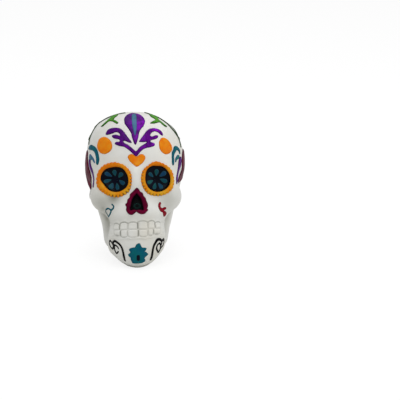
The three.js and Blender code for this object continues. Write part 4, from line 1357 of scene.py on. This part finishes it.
petals = {
    "left": [
        (370, 232, 343, 112, 80), (312, 240, 165, 165, 75), (300, 300, 145, 345, 70),
        (325, 360, 270, 475, 100), (400, 362, 415, 495, 72), (440, 310, 548, 390, 80),
        (432, 262, 505, 165, 85),
    ],
    "right": [
        (1148, 228, 1165, 98, 80), (1095, 252, 1010, 165, 70), (1090, 312, 985, 370, 75),
        (1135, 358, 1110, 485, 72), (1190, 362, 1270, 470, 75), (1220, 285, 1362, 345, 80),
        (1212, 240, 1340, 150, 85),
    ],
    "blue": {"left": (0, 0.9, 0, 0.3, 0.2, 0.5, 0), "right": (0, 0.2, 0, 0, 0.6, 0.2, 0.9)},
    "taper": 0.32,
    "fullness": 1.42,  # evens out what the taper takes
    "height": 0.5,
    "floor": 0.06,  # the edge lies this far under the dish
    "round": 0.4,
    "steps": 40,
    "rings": 9,
    "innermost": 0.02,  # share of the petal that its last ring takes
}


def scallops(name, angle):  # one on the back of a scallop, down towards nothing between two
    sway, swayWaves = ring["sway"]
    mean, swing, often = ring["unlike"]
    turned = angle * ring["scallops"] / 2 + sway * np.sin(swayWaves * angle)
    unlike = wobble(np.stack([angle, 0 * angle], 1), often, 3 + len(name))
    return 1 - (1 - np.abs(np.sin(turned)) ** ring["lobeRound"]) * (mean + swing * unlike)


def eyeRing(name, eye):
    steps, across = ring["scallops"] * ring["perScallop"], ring["across"]
    angle = np.arange(steps) / steps * fullTurn
    lobe = scallops(name, angle)
    inner = eye["inner"](angle) - ring["inside"]
    outer = eye["outer"](angle) - ring["scallopDepth"] * (1 - lobe)
    # painted shade in the grooves between the scallops, deepest towards one side of each eye
    mean, swing, least = ring["grooveShades"]
    darkest, warmest = (np.cos(angle - eyeLook[name][key] * math.pi) for key in ("grooveShadeSide", "orange"))
    grooveShadeSide = np.clip(mean + swing * darkest, least, 1)
    rings, marks = [], []
    for s in np.linspace(0, 1, across):
        skin = eyeSkin(eye, inner + (outer - inner) * s, angle)
        groove = (1 - lobe) * smooth(*ring["grooveFrom"], s)
        rise = ring["height"] * max(1 - (2 * s - 1) ** 2, 0) ** ring["round"]
        lift = rise * (1 - ring["grooveDepth"] * groove) + ring["floor"] + skinWaves(skin)
        rings.append(seat(skin + skinNormal(skin) * lift[:, None]))
        dark = ring["mark"] * grooveShadeSide * groove ** ring["grooveMark"]
        marks.append(np.maximum(ring["mark"] * (1 - dark), 0))
    orange = np.clip(ring["orange"] * warmest, 0, 1)
    values = {"fromEdge": np.concatenate(marks), "tint": np.tile(orange, across)}
    faces, node = ringFaces(across, steps), f"{name}_eye_ring"
    makePiece(node, np.concatenate(rings), faces, values, paintMaterials["marigold_paint"], node)


def dishDepth(eye, radius, angle):
    return eyeLook["rimDown"] + eyeLook["dish"] * (1 - (radius / eye["inner"](angle)) ** 2)


def eyeCup(name, eye):
    angle = np.arange(cup["steps"]) / cup["steps"] * fullTurn
    edge = eye["inner"](angle)
    top = inEye(eye, eyeSkin(eye, edge, angle))[2]
    foot = dishDepth(eye, edge - cup["lipFoot"], angle)
    rings, marks = [], []
    for more, down in cup["lip"]:
        rings.append(fromEye(eye, edge + more, angle, top + (foot - top) * down))
        marks.append(0 * angle)
    for share in cup["shares"]:
        rings.append(fromEye(eye, edge * share, angle, dishDepth(eye, edge * share, angle)))
        marks.append(cup["middleAt"] * (1 - share) + 0 * angle)
    points, faces = seat(np.concatenate(rings)), ringFaces(len(rings), len(angle))
    values, node = {"fromEdge": np.concatenate(marks)}, f"{name}_eye_cup"
    makePiece(node, points, faces, values, paintMaterials["navy_paint"], node)


def onDish(eye, pixels, lift):  # traced points on the dish, raised towards the eye's front
    rays = unseatDirection(rayOf(pixels))
    start = unseat(cameraAt[None])[0]
    depth = np.full(len(pixels), eyeLook["rimDown"])
    for _ in range(4):  # rounds in which the point and the dish's depth there settle
        plane = eye["middle"] - eye["outward"] * depth[:, None]
        reach = ((plane - start) * eye["outward"]).sum(1) / (rays @ eye["outward"])
        p = start + rays * reach[:, None]
        radius, angle, _ = inEye(eye, p)
        depth = dishDepth(eye, radius, angle) + petals["floor"] - lift
    return p


def eyePetal(name, eye, index, row, blue):
    t = np.arange(petals["steps"]) / petals["steps"] * fullTurn
    tip, end = traced("middle", [row[:2], row[2:4]])
    middle, reach = (tip + end) / 2, (end - tip) / 2
    width = row[4] / sheets["middle"][2] / 2
    beside = np.array([-reach[1], reach[0]]) / np.linalg.norm(reach) * width
    profile = petals["fullness"] * np.sin(t) * (1 + petals["taper"] * (np.cos(t) - 1))
    rings, marks = [], []
    for share in np.linspace(1, petals["innermost"], petals["rings"]):
        pixels = middle + (np.cos(t)[:, None] * reach + profile[:, None] * beside) * share
        rings.append(onDish(eye, pixels, petals["height"] * (1 - share**2) ** petals["round"]))
        marks.append(np.full(len(t), (1 - share) * width * photo["mmPerPixel"]))
    points, faces = seat(np.concatenate(rings)), ringFaces(len(rings), len(t))
    values = {"fromEdge": np.concatenate(marks), "tint": np.full(len(points), blue)}
    node = f"{name}_eye_petal_{index}"
    makePiece(node, points, faces, values, paintMaterials["petal_paint"], node)


for name, eye in eyes.items():
    eyeRing(name, eye)
    eyeCup(name, eye)
    for index, row in enumerate(petals[name]):
        eyePetal(name, eye, index + 1, row, petals["blue"][name][index])
print("nose and eyes set")

# White paper under and behind the skull, half its size in metres and its drop below the base in
# millimetres. To the camera a glow lifts it to white, and the skull's shadow stays on it
paper = {"lit": "#e6e6e4", "seen": "#7c7c7c", "glow": 0.84, "reach": 6, "drop": 0.3}


def floorMaterial():
    material, tree = startMaterial("seamless_paper")
    seen = addNode(tree, "LightPath").outputs["Is Camera Ray"]
    tone = addNode(tree, "Mix", mixing | {6: paper["lit"], 7: paper["seen"]}, i0=seen)
    matt = addNode(tree, "BsdfDiffuse", Color=tone.outputs[2])
    lift = addNode(tree, "MapRange", fromTo(0, 1, 0, paper["glow"]), Value=seen)
    glow = addNode(tree, "Emission", {"Color": "#ffffff"}, Strength=lift)
    addNode(tree, "OutputMaterial", Surface=addNode(tree, "AddShader", i0=matt, i1=glow))
    return material


def addFloor():
    mesh = bpy.data.meshes.new("floor")
    reach = paper["reach"]
    corners = [(-reach, -reach, 0), (reach, -reach, 0), (reach, reach, 0), (-reach, reach, 0)]
    mesh.from_pydata(corners, [], [(0, 1, 2, 3)])
    mesh.materials.append(floorMaterial())
    floor = bpy.data.objects.new("floor", mesh)
    floor.location = (0, 0, -paper["drop"] * mm)
    bpy.context.scene.collection.objects.link(floor)


lamps = {  # place and size in metres and power in watts, all aimed at the middle of the skull
    "aboveFront": ((0, -0.6, 1.5), 1.0, 6.6),
    "aboveBack": ((0, 0.5, 1.5), 1.0, 4.5),
    "right": ((1.5, -0.3, 0.4), 0.9, 2.7),
    "frontRight": ((0.9, -0.9, 0.8), 0.9, 0.8),
}
across = (0.01, 1, 0.02)  # nearly along y, and in line with no lamp
sky = {"light": 0.52, "seen": 1.0}  # strength of the light that it gives, and as the camera sees it


def addLamps():
    target = np.array(photo["skullMiddle"]) * mm
    for name, (place, size, power) in lamps.items():
        light = bpy.data.lights.new(name, "AREA")
        light.shape, light.size, light.energy = "DISK", size, power
        lamp = bpy.data.objects.new(name, light)
        back = unit(np.array(place) - target)
        right = unit(np.cross(across, back))
        columns = np.stack([right, np.cross(back, right), back, place], 1)
        lamp.matrix_world = Matrix(columns.tolist() + [[0, 0, 0, 1]])
        bpy.context.scene.collection.objects.link(lamp)


def addWorld():
    world = bpy.data.worlds.new("white_studio")
    bpy.context.scene.world = world
    world.use_nodes = True
    tree = world.node_tree
    tree.nodes.clear()
    seen = addNode(tree, "LightPath").outputs["Is Camera Ray"]
    strength = addNode(tree, "MapRange", fromTo(0, 1, sky["light"], sky["seen"]), Value=seen)
    back = addNode(tree, "Background", {"Color": "#ffffff"}, Strength=strength)
    addNode(tree, "OutputWorld", Surface=back)


def addCamera():
    camera = bpy.data.objects.new("camera", bpy.data.cameras.new("camera"))
    camera.data.lens, camera.data.sensor_width = photo["lens"], photo["sensor"]
    camera.data.clip_start, camera.data.clip_end = photo["clip"]
    columns = np.stack([cameraRight, cameraUp, cameraBack, cameraAt * mm], 1)
    camera.matrix_world = Matrix(columns.tolist() + [[0, 0, 0, 1]])
    bpy.context.scene.collection.objects.link(camera)
    bpy.context.scene.camera = camera


addFloor()
addLamps()
addWorld()
addCamera()
bpy.context.scene.view_settings.view_transform = "Standard"
print("studio set")
